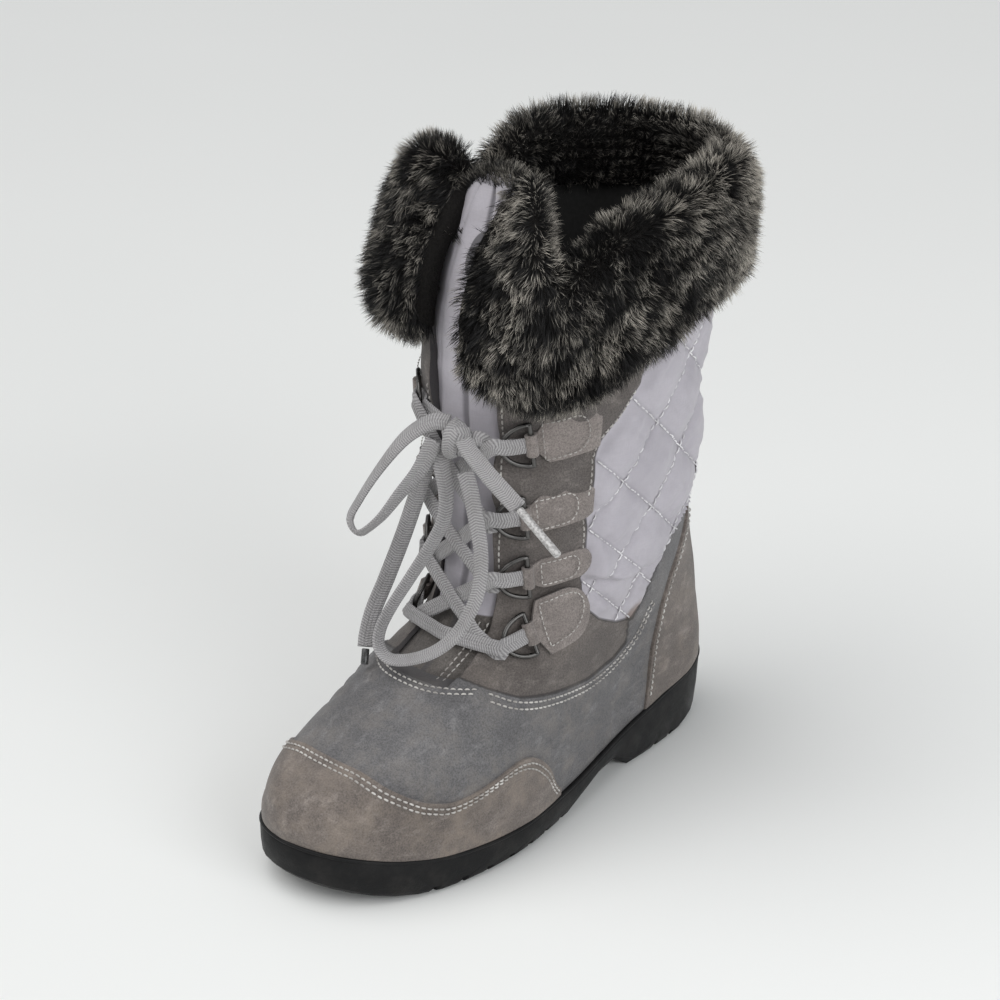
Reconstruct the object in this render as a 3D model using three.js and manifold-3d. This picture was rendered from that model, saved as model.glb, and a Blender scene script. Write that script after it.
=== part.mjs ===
// A woman's left snow boot: suede foot, nylon shaft, fur cuff, rubber unit sole.
// Millimetres, +Z up, toe towards -Y, lateral (outer) side towards +X.
// Heights in the section tables are measured above the feather line, where upper and sole meet.
import * as THREE from 'three';
import { mergeVertices } from 'three/addons/utils/BufferGeometryUtils.js';
import Module from 'manifold-3d';

const wasm = await Module();
wasm.setup();

// ---- driving sizes ---------------------------------------------------------------------------
const SOLE_LENGTH = 275;
const GAP = 0.3; // between pieces that meet
const WALL = 3; // suede or nylon with its lining
const FLANGE = 3; // the sole stands this far outside the upper
const INSOLE_THICKNESS = 4;
const INSOLE_CLEAR = 1.2; // from the insole's edge to the wall
const OVERLAY = 1.3; // toe cap and heel counter leather
const COLLAR = 235; // top of the upper's wall above the feather line
const SHAFT_LIFT = 30; // height of the feather line that the shaft is measured from
const LIFT_FADE = 90; // the feather line's curve has faded out at this height
const HALF_STEPS = 15; // facets along one side of a section of the upper
const SOLE_STEPS = 28; // facets along one side of the sole

const TOE = -SOLE_LENGTH / 2;

// ---- tables ----------------------------------------------------------------------------------
// Sole outline. around: 0 at the toe, 1 at the heel, in equal turns of a half circle.
const OUTLINE = [
  { around: 0.0, lateral: -5, medial: -5 },
  { around: 0.1, lateral: 15, medial: -25 },
  { around: 0.2, lateral: 32, medial: -39.5 },
  { around: 0.3, lateral: 44, medial: -46.5 },
  { around: 0.4, lateral: 49, medial: -47 },
  { around: 0.5, lateral: 45, medial: -38 },
  { around: 0.6, lateral: 38.5, medial: -31 },
  { around: 0.7, lateral: 35.5, medial: -32 },
  { around: 0.8, lateral: 31, medial: -30 },
  { around: 0.9, lateral: 19, medial: -19 },
  { around: 1.0, lateral: 0, medial: 0 },
];

// Sole profile by place along its length: top at the feather line, bottom, and side tuck.
const PROFILE = [
  { along: 0.0, top: 29, bottom: 12, tuck: 3 },
  { along: 0.05, top: 25, bottom: 7, tuck: 3 },
  { along: 0.12, top: 20.5, bottom: 2.2, tuck: 3 },
  { along: 0.2, top: 17, bottom: 0, tuck: 3 },
  { along: 0.36, top: 15, bottom: 0, tuck: 4 },
  { along: 0.5, top: 17, bottom: 0, tuck: 7 },
  { along: 0.56, top: 18.8, bottom: 3.5, tuck: 9 },
  { along: 0.62, top: 21, bottom: 7.5, tuck: 9 },
  { along: 0.67, top: 23.4, bottom: 8.5, tuck: 7 },
  { along: 0.7, top: 25, bottom: 0, tuck: 5 },
  { along: 0.8, top: 29.5, bottom: 0, tuck: 4 },
  { along: 0.92, top: 33, bottom: 0, tuck: 4 },
  { along: 1.0, top: 34, bottom: 3, tuck: 3 },
];

// Upper sections. front, back: ends of the section along Y. half: half width of the shaft.
// foot: share of the sole's outline in the section. nose, heel: how square its two ends are.
// lean: sideways shift of the section.
const SECTIONS = [
  { height: 0, front: -134.5, back: 134.5, half: 40, foot: 1.0, nose: 14, heel: 14, lean: 0 },
  { height: 8, front: -135.5, back: 136, half: 40, foot: 1.0, nose: 9, heel: 8, lean: 0 },
  { height: 15, front: -132, back: 137, half: 40, foot: 0.98, nose: 6.5, heel: 5.5, lean: 0 },
  { height: 22, front: -125, back: 137, half: 40, foot: 0.95, nose: 5, heel: 4.3, lean: 0 },
  { height: 29, front: -113.5, back: 136, half: 40, foot: 0.91, nose: 4.2, heel: 3.8, lean: 0 },
  { height: 37, front: -100.5, back: 134, half: 40, foot: 0.86, nose: 3.4, heel: 3.4, lean: 0 },
  { height: 45, front: -87, back: 131, half: 40, foot: 0.79, nose: 2.9, heel: 3.1, lean: 0 },
  { height: 53, front: -71.5, back: 127.5, half: 39.5, foot: 0.69, nose: 2.6, heel: 2.9, lean: 0 },
  { height: 61, front: -52.5, back: 123.5, half: 39.5, foot: 0.56, nose: 2.4, heel: 2.7, lean: 0 },
  { height: 69, front: -39.5, back: 119.5, half: 39.5, foot: 0.42, nose: 2.3, heel: 2.6, lean: 0 },
  { height: 80, front: -32.5, back: 115.5, half: 40, foot: 0.27, nose: 2.25, heel: 2.5, lean: 0 },
  { height: 98, front: -29.5, back: 112, half: 41.5, foot: 0.1, nose: 2.3, heel: 2.4, lean: -0.5 },
  { height: 122, front: -28.5, back: 111.5, half: 44, foot: 0, nose: 2.5, heel: 2.4, lean: -1.5 },
  { height: 155, front: -28.5, back: 113, half: 46.5, foot: 0, nose: 2.5, heel: 2.4, lean: -3 },
  { height: 195, front: -28.5, back: 116, half: 49, foot: 0, nose: 2.5, heel: 2.4, lean: -5 },
  { height: 235, front: -28.5, back: 119, half: 51, foot: 0, nose: 2.5, heel: 2.4, lean: -7 },
  { height: 275, front: -28.5, back: 121, half: 52, foot: 0, nose: 2.5, heel: 2.4, lean: -8.5 },
];

// Throat opening between the two facings, by height above the floor.
const THROAT = [
  { z: 86, half: 19 },
  { z: 100, half: 18 },
  { z: 125, half: 16.5 },
  { z: 160, half: 16 },
  { z: 200, half: 19 },
  { z: 290, half: 25 },
];

// Lace rings, from the bottom up. y: place of the straight bar along the boot. z: its height.
// tilt: degrees that the ring's way forward rises. back, half: length and half height of its
// chape behind the bar.
const RINGS = [
  { side: 'lateral', number: 1, y: -19, z: 98, tilt: 14, back: 33, half: 13 },
  { side: 'lateral', number: 2, y: -17, z: 125, tilt: 6, back: 31, half: 7 },
  { side: 'lateral', number: 3, y: -19, z: 154, tilt: 8, back: 33, half: 8.5 },
  { side: 'lateral', number: 4, y: -18, z: 188, tilt: 8, back: 36, half: 10 },
  { side: 'medial', number: 1, y: -19, z: 98, tilt: 14, back: 33, half: 13 },
  { side: 'medial', number: 2, y: -17, z: 127, tilt: 6, back: 31, half: 8 },
  { side: 'medial', number: 3, y: -18, z: 160, tilt: 8, back: 33, half: 10 },
  { side: 'medial', number: 4, y: -17, z: 196, tilt: 8, back: 36, half: 10 },
];

// Free lace: middle line of each loop and end from the knot, and of the aglets.
const LACE_ROUTES = {
  lace_loop_1: [
    [-1, -39, 195], [-9, -42, 194], [-20, -46, 185], [-31, -50, 169], [-40, -54, 152],
    [-43, -57, 142], [-35, -59, 139], [-25, -57, 148], [-17, -53, 161], [-9, -49, 174],
    [-4, -46, 188],
  ],
  lace_loop_2: [
    [-4, -41, 181], [-3, -42, 176], [1, -43, 165], [2, -45, 153], [-3, -48, 139],
    [-10, -53, 123], [-16, -58, 109], [-18, -63, 99], [-16, -66, 92], [-9, -67, 89],
    [2, -66, 92], [15, -64, 100], [24, -61, 110], [29, -57, 122], [30, -53, 133],
    [27, -49, 146], [21, -46, 159], [15, -43, 169], [10, -41, 176],
  ],
  lace_end_1: [[11, -44, 192], [18, -47, 189], [32, -52, 185], [44, -55, 181], [53, -57, 178]],
  lace_end_2: [
    [-9, -38, 184], [-13, -39, 176], [-18, -41, 156], [-23, -44, 136], [-27, -50, 116],
    [-29, -56, 102], [-27, -62, 93], [-25, -65, 88],
  ],
};
const AGLET_ENDS = {
  aglet_1: [[54, -57.3, 177.5], [78, -61, 166]],
  aglet_2: [[-24.8, -65.3, 87.3], [-23, -68, 81]],
};
const KNOT = new THREE.Vector3(3, -38, 188);

// Toe cap edge, seen from the side: over the toe box, along the wing, down to the sole.
const TOE_CAP_EDGE = [
  { y: -104, z: 75 },
  { y: -100, z: 50 },
  { y: -80, z: 40 },
  { y: -58, z: 45 },
  { y: -42, z: 49 },
  { y: -25, z: 43 },
  { y: -14, z: 30 },
  { y: -10, z: 8 },
];

// Heel counter edge, seen from the side, from the sole up to the ankle.
const COUNTER_EDGE = [
  { y: 66, z: 10 },
  { y: 68, z: 60 },
  { y: 74, z: 88 },
  { y: 88, z: 110 },
  { y: 100, z: 124 },
];

// Fur cuff, from the lateral front end round the back to the medial one, as shares of the way.
// rim, hem: top and bottom above the feather line. thick: how far it stands off the shaft.
const CUFF = [
  { around: 0.0, rim: 246, hem: 180, thick: 13 },
  { around: 0.04, rim: 244, hem: 178, thick: 21 },
  { around: 0.12, rim: 250, hem: 184, thick: 23 },
  { around: 0.22, rim: 260, hem: 198, thick: 20 },
  { around: 0.33, rim: 265, hem: 205, thick: 19 },
  { around: 0.5, rim: 268, hem: 207, thick: 19 },
  { around: 0.7, rim: 268, hem: 206, thick: 20 },
  { around: 0.8, rim: 254, hem: 203, thick: 21 },
  { around: 0.88, rim: 262, hem: 202, thick: 22 },
  { around: 0.96, rim: 262, hem: 203, thick: 21 },
  { around: 1.0, rim: 254, hem: 208, thick: 12 },
];

// ---- tools -----------------------------------------------------------------------------------
// Smooth value of a table's column where its key column has the value at.
function read(rows, key, at, column) {
  let i = rows.findIndex((row) => row[key] >= at);
  if (i < 0) i = rows.length - 1;
  i = Math.max(i, 1);
  const [before, from, to, after] = [i - 2, i - 1, i, i + 1].map(
    (k) => rows[Math.min(Math.max(k, 0), rows.length - 1)],
  );
  const span = to[key] - from[key];
  const t = THREE.MathUtils.clamp((at - from[key]) / span, 0, 1);
  const slope = (a, b) => (a === b ? 0 : (b[column] - a[column]) / (b[key] - a[key]));
  const m0 = slope(before, to) * span;
  const m1 = slope(from, after) * span;
  const t2 = t * t;
  const t3 = t2 * t;
  return (
    (2 * t3 - 3 * t2 + 1) * from[column] +
    (t3 - 2 * t2 + t) * m0 +
    (3 * t2 - 2 * t3) * to[column] +
    (t3 - t2) * m1
  );
}

// One closed mesh from vertices and faces given as index lists.
function closed(points, faces) {
  const geometry = new THREE.BufferGeometry();
  geometry.setAttribute(
    'position',
    new THREE.Float32BufferAttribute(points.flatMap((p) => [p.x, p.y, p.z]), 3),
  );
  const index = faces.flatMap((f) =>
    f.length === 3 ? f : [f[0], f[1], f[2], f[0], f[2], f[3]],
  );
  geometry.setIndex(index);
  return geometry;
}

// Rings of equal count stacked into a closed body. A ring runs from the toe along the lateral
// side to the heel and back along the medial side, so its ends are closed by a ladder of quads.
function stack(rings) {
  const count = rings[0].length;
  const half = count / 2;
  const faces = [];
  for (let r = 0; r < rings.length - 1; r += 1) {
    for (let i = 0; i < count; i += 1) {
      const j = (i + 1) % count;
      faces.push([r * count + i, r * count + j, (r + 1) * count + j, (r + 1) * count + i]);
    }
  }
  const ladder = (base, up) => {
    for (let i = 0; i < half; i += 1) {
      const [a, b] = [i, i + 1];
      const [c, d] = [(count - i - 1) % count, (count - i) % count];
      const quad = [a, b, c, d].filter((v, k, all) => all.indexOf(v) === k).map((v) => base + v);
      faces.push(up ? quad : quad.reverse());
    }
  };
  ladder(0, false);
  ladder((rings.length - 1) * count, true);
  return closed(rings.flat(), faces);
}

// A strip of sections of equal count, each a closed loop that runs clockwise as seen from the
// strip's far end, joined into a closed body.
function loft(sections) {
  const count = sections[0].length;
  const faces = [];
  for (let r = 0; r < sections.length - 1; r += 1) {
    for (let i = 0; i < count; i += 1) {
      const j = (i + 1) % count;
      faces.push([r * count + i, (r + 1) * count + i, (r + 1) * count + j, r * count + j]);
    }
  }
  const last = (sections.length - 1) * count;
  for (let i = 1; i < count - 1; i += 1) {
    faces.push([0, i, i + 1], [last, last + i + 1, last + i]);
  }
  return closed(sections.flat(), faces);
}

const FINEST = 0.003; // detail below this size is dropped after a cut
const SMALL_PART_FINEST = 0.03; // the same for chapes and lace

function solid(geometry) {
  const plain = geometry.clone();
  plain.deleteAttribute('normal');
  plain.deleteAttribute('uv');
  const merged = mergeVertices(plain, 1e-4);
  return new wasm.Manifold(
    new wasm.Mesh({
      numProp: 3,
      vertProperties: new Float32Array(merged.attributes.position.array),
      triVerts: new Uint32Array(merged.index.array),
    }),
  );
}

function geometryOf(manifold, finest = FINEST) {
  const mesh = manifold.simplify(finest).getMesh();
  const geometry = new THREE.BufferGeometry();
  geometry.setAttribute('position', new THREE.Float32BufferAttribute(mesh.vertProperties, 3));
  geometry.setIndex(Array.from(mesh.triVerts));
  return geometry;
}

// A shape drawn from the side, in Y and Z, pushed through the boot from side to side.
function sideways(points, halfWidth) {
  const shape = new THREE.Shape(points.map(([y, z]) => new THREE.Vector2(y, z)));
  const geometry = new THREE.ExtrudeGeometry(shape, { depth: 2 * halfWidth, bevelEnabled: false });
  geometry.translate(0, 0, -halfWidth);
  // The shape's axes become Y and Z, and the depth runs along X.
  return geometry.applyMatrix4(
    new THREE.Matrix4().set(0, 0, 1, 0, 1, 0, 0, 0, 0, 1, 0, 0, 0, 0, 0, 1),
  );
}

// A shape drawn from the front, in X and Z, pushed back from the front to a given depth.
function frontways(points, from, to) {
  const shape = new THREE.Shape(points.map(([x, z]) => new THREE.Vector2(x, z)));
  const geometry = new THREE.ExtrudeGeometry(shape, { depth: to - from, bevelEnabled: false });
  // The shape's axes become X and Z, and the depth runs along -Y.
  geometry.applyMatrix4(
    new THREE.Matrix4().set(1, 0, 0, 0, 0, 0, -1, 0, 0, 1, 0, 0, 0, 0, 0, 1),
  );
  return geometry.translate(0, to, 0);
}

// ---- the last: outline, feather line and sections --------------------------------------------
const along = (y) => THREE.MathUtils.clamp((y - TOE) / SOLE_LENGTH, 0, 1);
const featherTop = (y) => read(PROFILE, 'along', along(y), 'top');

// Half width of the sole's outline at a place along its length.
function outline(y, side) {
  const around = Math.acos(1 - 2 * along(y)) / Math.PI;
  return read(OUTLINE, 'around', around, side);
}

// Height above the floor of a point of the upper.
function lifted(y, height) {
  const fade = THREE.MathUtils.clamp(height / LIFT_FADE, 0, 1);
  return height + THREE.MathUtils.lerp(featherTop(y), SHAFT_LIFT, fade);
}

// A point on the upper's outer face. turn: 0 at the front, 1 at the back of that side.
function upperPoint(height, turn, side) {
  const row = (column) => read(SECTIONS, 'height', height, column);
  const swing = Math.cos(Math.PI * turn);
  const y = row('front') + ((row('back') - row('front')) * (1 - swing)) / 2;
  const square = turn < 0.5 ? row('nose') : row('heel');
  const close = (1 - Math.abs(swing) ** square) ** (1 / square);
  const sign = side === 'lateral' ? 1 : -1;
  const end = Math.abs(row(y < 0 ? 'front' : 'back'));
  const inner = (y * -TOE) / Math.max(-TOE - FLANGE, end);
  const edge = outline(inner, side);
  const middle = (outline(inner, 'lateral') + outline(inner, 'medial')) / 2;
  const footHalf = Math.max(Math.abs(edge - middle) - FLANGE * Math.sin(Math.PI * turn), 0);
  const foot = row('foot');
  const half = foot * footHalf + (1 - foot) * row('half');
  const x = foot * middle + row('lean') + sign * half * close;
  return new THREE.Vector3(x, y, lifted(y, height));
}

// One section of the upper's form, moved outwards along its normals by an offset.
function upperRing(height, offset) {
  const turns = [];
  for (let i = 0; i <= HALF_STEPS; i += 1) turns.push({ turn: i / HALF_STEPS, side: 'lateral' });
  for (let i = HALF_STEPS - 1; i > 0; i -= 1) turns.push({ turn: i / HALF_STEPS, side: 'medial' });
  return turns.map(({ turn, side }) => surface(height, turn, side, offset));
}

// The point at an offset from the outer face, with the face's normal from its neighbours.
function surface(height, turn, side, offset) {
  const point = upperPoint(height, turn, side);
  return point.addScaledVector(normalAt(height, turn, side), offset);
}

function normalAt(height, turn, side) {
  const step = 0.02;
  const rise = 2;
  const other = side === 'lateral' ? 'medial' : 'lateral';
  const at = (t) => {
    if (t < 0) return upperPoint(height, -t, other);
    return t > 1 ? upperPoint(height, 2 - t, other) : upperPoint(height, t, side);
  };
  const round = at(turn + step).sub(at(turn - step));
  const low = upperPoint(Math.max(height - rise, 0), turn, side);
  const up = upperPoint(height + rise, turn, side).sub(low);
  const normal = side === 'lateral' ? round.cross(up) : up.cross(round);
  return normal.normalize();
}

const RING_HEIGHTS = [0, 6, 13, 20, 27, 34, 41, 48, 55, 62, 70, 82, 98, 122, 160, 200, COLLAR];

// The whole form of the boot at an offset, as a closed body from below the feather line up to top.
function form(offset, top, below = 0) {
  const heights = [...RING_HEIGHTS.filter((height) => height < top), top];
  const rings = heights.map((height) => upperRing(height, offset));
  if (below > 0) {
    rings.unshift(rings[0].map((p) => new THREE.Vector3(p.x, p.y, p.z - below)));
  }
  return solid(stack(rings));
}

// ---- pieces ----------------------------------------------------------------------------------
// The sole's outline grown by an amount at a share of the way from its top to its bottom.
function soleRing(grow, drop, tucked) {
  const points = [];
  const place = (turn, side) => {
    const swing = -Math.cos(Math.PI * turn);
    const t = (1 + swing) / 2;
    const yOutline = TOE + SOLE_LENGTH * t;
    const inset = tucked * read(PROFILE, 'along', t, 'tuck') - grow;
    const sign = side === 'lateral' ? 1 : -1;
    const y = yOutline - inset * swing;
    const x = outline(yOutline, side) - sign * inset * Math.sin(Math.PI * turn);
    const bottom = Math.max(read(PROFILE, 'along', t, 'bottom'), 0);
    return new THREE.Vector3(x, y, THREE.MathUtils.lerp(featherTop(y), bottom, drop));
  };
  for (let i = 0; i <= SOLE_STEPS; i += 1) points.push(place(i / SOLE_STEPS, 'lateral'));
  for (let i = SOLE_STEPS - 1; i > 0; i -= 1) points.push(place(i / SOLE_STEPS, 'medial'));
  return points;
}

// drop: share of the way down the side wall. grow: outwards from the outline. tucked: share of
// the bottom's tuck.
const SOLE_WALL = [
  { drop: 1, grow: 0, tucked: 1 },
  { drop: 0.86, grow: 0, tucked: 0.35 },
  { drop: 0.5, grow: 0, tucked: 0.08 },
  { drop: 0.12, grow: 0, tucked: 0 },
  { drop: 0, grow: -0.9, tucked: 0 },
];

// Everything under the upper: the sole's top face raised by the gap, and all below it.
function underUpper() {
  const top = soleRing(OVERLAY + FLANGE, 0, 0).map((p) => p.setZ(p.z + GAP));
  const low = top.map((p) => new THREE.Vector3(p.x, p.y, -10));
  return solid(stack([low, top]));
}

// Tread grooves across forefoot and heel, cut up into the bottom.
const GROOVE_WIDTH = 3.2;
const GROOVE_DEPTH = 3.6;
const GROOVE_PITCH = 13.5;
const GROOVE_SLANT = THREE.MathUtils.degToRad(14);
const GROOVE_RUNS = [
  { from: -98, count: 7, reach: 60 },
  { from: 72, count: 4, reach: 44 },
];

function outsole() {
  const body = solid(stack(SOLE_WALL.map((w) => soleRing(w.grow, w.drop, w.tucked))));
  const grooves = GROOVE_RUNS.flatMap(({ from, count, reach }) =>
    Array.from({ length: count }, (_, i) => from + i * GROOVE_PITCH).flatMap((y) =>
      [1, -1].map((side) => {
        const bar = new THREE.BoxGeometry(reach, GROOVE_WIDTH, 2 * GROOVE_DEPTH);
        bar.translate(reach / 2 + 5, 0, 0);
        bar.rotateZ(side * GROOVE_SLANT);
        if (side < 0) bar.rotateZ(Math.PI);
        return solid(bar.translate(0, y, 0));
      }),
    ),
  );
  return geometryOf(grooves.reduce((rest, bar) => rest.subtract(bar), body));
}

function insole() {
  const ring = (rise) =>
    upperRing(0, -WALL - INSOLE_CLEAR).map((p) => p.setZ(featherTop(p.y) + rise));
  return stack([ring(GAP), ring(GAP + INSOLE_THICKNESS)]);
}

// What is cut out of the front of the shaft between the facings.
function throatCut(shrink = 0) {
  const sideOf = (sign) =>
    THROAT.map(({ z, half }) => [
      sign * (half - shrink) + read(SECTIONS, 'height', z - SHAFT_LIFT, 'lean'),
      z + (z === THROAT[0].z ? shrink : 0),
    ]);
  return solid(frontways([...sideOf(1), ...sideOf(-1).reverse()], -200, 20));
}

function upper() {
  const wall = form(0, COLLAR, 4).subtract(form(-WALL, COLLAR + 6, 12));
  return geometryOf(wall.subtract(throatCut()).subtract(underUpper()));
}

// A leather overlay on the upper, between two larger forms, inside a shape drawn from the side.
function overlay(points) {
  const skin = form(GAP + OVERLAY, 120, 4).subtract(form(GAP, 125, 12));
  return geometryOf(skin.intersect(solid(sideways(points, 90))).subtract(underUpper()));
}

function toeCap() {
  const edge = TOE_CAP_EDGE.map(({ y, z }) => [y, z]);
  return overlay([[-170, 75], [-170, 8], ...edge.reverse()]);
}

function heelCounter() {
  const edge = COUNTER_EDGE.map(({ y, z }) => [y, z]);
  return overlay([...edge.reverse(), [66, 10], [170, 10], [170, 124]].filter(
    (p, i, all) => i === 0 || p[0] !== all[i - 1][0] || p[1] !== all[i - 1][1],
  ));
}

// The tongue lies inside the shaft's front, behind the throat, and ends in a lobe above it.
const TONGUE_THICKNESS = 6;
const TONGUE_CLEAR = 0.8;
const TONGUE_HALF = 30;

function tongue() {
  const face = WALL + TONGUE_CLEAR;
  const skin = form(-face, 266).subtract(form(-face - TONGUE_THICKNESS, 272, 10));
  // Half a tongue: widest at the instep, round at the top.
  const half = [[22, 82], [TONGUE_HALF, 120], [27, 240], [26, 262], [22, 280], [14, 292], [5, 297]];
  const lean = (z) => read(SECTIONS, 'height', z - SHAFT_LIFT, 'lean');
  const reach = [1, -1].flatMap((sign) => {
    const edge = half.map(([x, z]) => [sign * x + lean(z), z]);
    return sign > 0 ? edge : edge.reverse();
  });
  return geometryOf(skin.intersect(solid(frontways(reach, -60, 20))));
}

const CUFF_STEPS = 28;
const CUFF_START = 0.2; // where the front ends lie on a section, from its front

// Cross-section of the cuff. out: share of its thickness off the shaft. up: share of the way
// from hem to rim. Below the collar it lies on the shaft, above it it reaches inwards.
const CUFF_SECTION = [
  { out: 0, up: 0.03 },
  { out: 0.45, up: 0 },
  { out: 0.85, up: 0.07 },
  { out: 1, up: 0.3 },
  { out: 1, up: 0.62 },
  { out: 0.84, up: 0.86 },
  { out: 0.5, up: 0.98 },
  { out: 0.1, up: 1 },
];
const CUFF_INSIDE = 8; // how far the rim reaches inwards over the collar

function furCuff() {
  const sections = [];
  for (let i = 0; i <= CUFF_STEPS; i += 1) {
    const around = i / CUFF_STEPS;
    const way = CUFF_START + (2 - 2 * CUFF_START) * around;
    const side = way <= 1 ? 'lateral' : 'medial';
    const turn = way <= 1 ? way : 2 - way;
    const rim = read(CUFF, 'around', around, 'rim');
    const hem = read(CUFF, 'around', around, 'hem');
    const thick = read(CUFF, 'around', around, 'thick');
    const points = CUFF_SECTION.map(({ out, up }) =>
      surface(hem + (rim - hem) * up, turn, side, out * thick - 1),
    );
    points.push(surface(rim - 6, turn, side, -CUFF_INSIDE));
    points.push(surface(COLLAR + 0.8, turn, side, -CUFF_INSIDE + 1));
    points.push(surface(COLLAR + 0.8, turn, side, -1));
    sections.push(points);
  }
  return geometryOf(solid(loft(sections)).subtract(form(GAP, COLLAR + GAP)));
}

// ---- lace rings, chapes and lace --------------------------------------------------------------
const WIRE = 1.1; // radius of a ring's wire
const RING_HALF = 9.5; // half length of its straight bar
const RING_REACH = 13; // from the bar to the front of its arc
const RING_OFF = GAP + 3; // the wire's middle stands this far off the upper
const CHAPE_THICKNESS = 2;
const KNUCKLE = { radius: 2.8, half: 5, bore: WIRE + GAP };
const RING_PATH_STEPS = 9;
const WIRE_SIDES = 6;

// Height above the feather line of a point of the shaft at a place and height above the floor.
const shaftHeight = (y, z) =>
  z < LIFT_FADE + SHAFT_LIFT
    ? (z - featherTop(y)) / (1 + (SHAFT_LIFT - featherTop(y)) / LIFT_FADE)
    : z - SHAFT_LIFT;

// Axes of a ring: origin in the middle of its bar, X forward along the upper, Y up, Z outwards.
function ringAxes({ side, y, z, tilt }) {
  const height = shaftHeight(y, z);
  const [front, back] = ['front', 'back'].map((end) => read(SECTIONS, 'height', height, end));
  const turn = Math.acos(1 - (2 * (y - front)) / (back - front)) / Math.PI;
  const step = 0.02;
  const out = normalAt(height, turn, side);
  const forward = upperPoint(height, turn - step, side).sub(upperPoint(height, turn + step, side));
  forward.addScaledVector(out, -forward.dot(out)).normalize();
  const sign = side === 'lateral' ? 1 : -1;
  forward.applyAxisAngle(out, sign * THREE.MathUtils.degToRad(tilt));
  const up = out.clone().cross(forward).multiplyScalar(sign);
  const axes = new THREE.Matrix4().makeBasis(forward, up, out);
  return axes.setPosition(surface(height, turn, side, RING_OFF));
}

// A geometry drawn in a ring's axes, placed on the upper. The medial side's axes are left-handed,
// so its faces are turned round.
function placed(geometry, axes) {
  geometry.applyMatrix4(axes);
  if (axes.determinant() > 0) return geometry;
  const plain = geometry.index ? geometry.toNonIndexed() : geometry;
  const place = plain.attributes.position;
  for (let i = 0; i < place.count; i += 3) {
    const [a, c] = [i + 1, i + 2].map((k) => new THREE.Vector3().fromBufferAttribute(place, k));
    place.setXYZ(i + 1, c.x, c.y, c.z);
    place.setXYZ(i + 2, a.x, a.y, a.z);
  }
  return plain;
}

// The wire of a D-ring: its middle line is a straight bar and half an ellipse.
function ringGeometry() {
  const line = [];
  for (let i = 0; i <= RING_PATH_STEPS; i += 1) {
    const angle = (Math.PI * i) / RING_PATH_STEPS - Math.PI / 2;
    line.push(new THREE.Vector3(RING_REACH * Math.cos(angle), RING_HALF * Math.sin(angle), 0));
  }
  line.push(new THREE.Vector3(0, RING_HALF / 3, 0), new THREE.Vector3(0, -RING_HALF / 3, 0));
  const points = [];
  const faces = [];
  const count = line.length;
  line.forEach((at, i) => {
    const before = line[(i + count - 1) % count];
    const after = line[(i + 1) % count];
    const way = after.clone().sub(before).normalize();
    const outward = new THREE.Vector3(way.y, -way.x, 0);
    for (let k = 0; k < WIRE_SIDES; k += 1) {
      const angle = (2 * Math.PI * k) / WIRE_SIDES;
      const point = at.clone().addScaledVector(outward, WIRE * Math.cos(angle));
      points.push(point.setZ(WIRE * Math.sin(angle)));
      const [next, turn] = [((i + 1) % count) * WIRE_SIDES, (k + 1) % WIRE_SIDES];
      faces.push([i * WIRE_SIDES + k, next + k, next + turn, i * WIRE_SIDES + turn]);
    }
  });
  return closed(points, faces);
}

// A chape: a leather patch on the upper, round at its far end, with a knuckle round the ring's bar.
function chape(ring, skin, body) {
  const axes = ringAxes(ring);
  const { half: knuckleHalf, radius, bore } = KNUCKLE;
  const shape = new THREE.Shape();
  const shoulder = Math.min(ring.half, ring.back / 2);
  shape.moveTo(1, -knuckleHalf);
  shape.lineTo(1, knuckleHalf);
  shape.lineTo(-3, knuckleHalf);
  shape.lineTo(-7, ring.half);
  shape.lineTo(shoulder - ring.back, ring.half);
  shape.absellipse(shoulder - ring.back, 0, shoulder, ring.half, Math.PI / 2, 1.5 * Math.PI, false);
  shape.lineTo(-7, -ring.half);
  shape.lineTo(-3, -knuckleHalf);
  const depth = 16;
  const patch = new THREE.ExtrudeGeometry(shape, { depth, bevelEnabled: false, curveSegments: 5 });
  patch.translate(0, 0, -depth + 4);
  const knuckle = new THREE.CylinderGeometry(radius, radius, 2 * knuckleHalf, 8);
  const hole = new THREE.CylinderGeometry(bore, bore, 4 * RING_HALF, 8);
  const [cut, loop, bar] = [patch, knuckle, hole].map((g) => solid(placed(g, axes)));
  const piece = skin.intersect(cut).add(loop.subtract(body)).subtract(bar);
  return geometryOf(piece, SMALL_PART_FINEST);
}

const LACE_WIDTH = 7.5;
const LACE_THICKNESS = 1.8;
const LACE_LIFT = 2.4; // how far the lace's middle stands off the upper between the rings
const LACE_CLEAR = WIRE + GAP + LACE_THICKNESS / 2; // from the wire's middle to the lace's

// A flat lace along points, each with the way that its face looks.
function ribbon(stops) {
  const half = LACE_WIDTH / 2;
  const thin = LACE_THICKNESS / 2;
  const section = [[-half, -thin], [-half, thin], [half, thin], [half, -thin]];
  const sections = stops.map(({ at, face }, i) => {
    const before = stops[Math.max(i - 1, 0)].at;
    const after = stops[Math.min(i + 1, stops.length - 1)].at;
    const way = after.clone().sub(before).normalize();
    const across = face.clone().cross(way).normalize();
    const out = way.clone().cross(across);
    return section.map(([u, v]) => at.clone().addScaledVector(across, u).addScaledVector(out, v));
  });
  return solid(loft(sections));
}

// Stops of the lace from inside a ring past its arc. over: on top of the arc or under it.
function pastRing(axes, over, lean) {
  const face = new THREE.Vector3().setFromMatrixColumn(axes, 2);
  const off = over ? LACE_CLEAR : -LACE_CLEAR;
  return [[4, 0, 0], [9.5, 1, off], [16, 2.5, off]].map(([x, y, z]) => ({
    at: new THREE.Vector3(x, y * lean, z * 1.05).applyMatrix4(axes),
    face,
  }));
}

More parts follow.
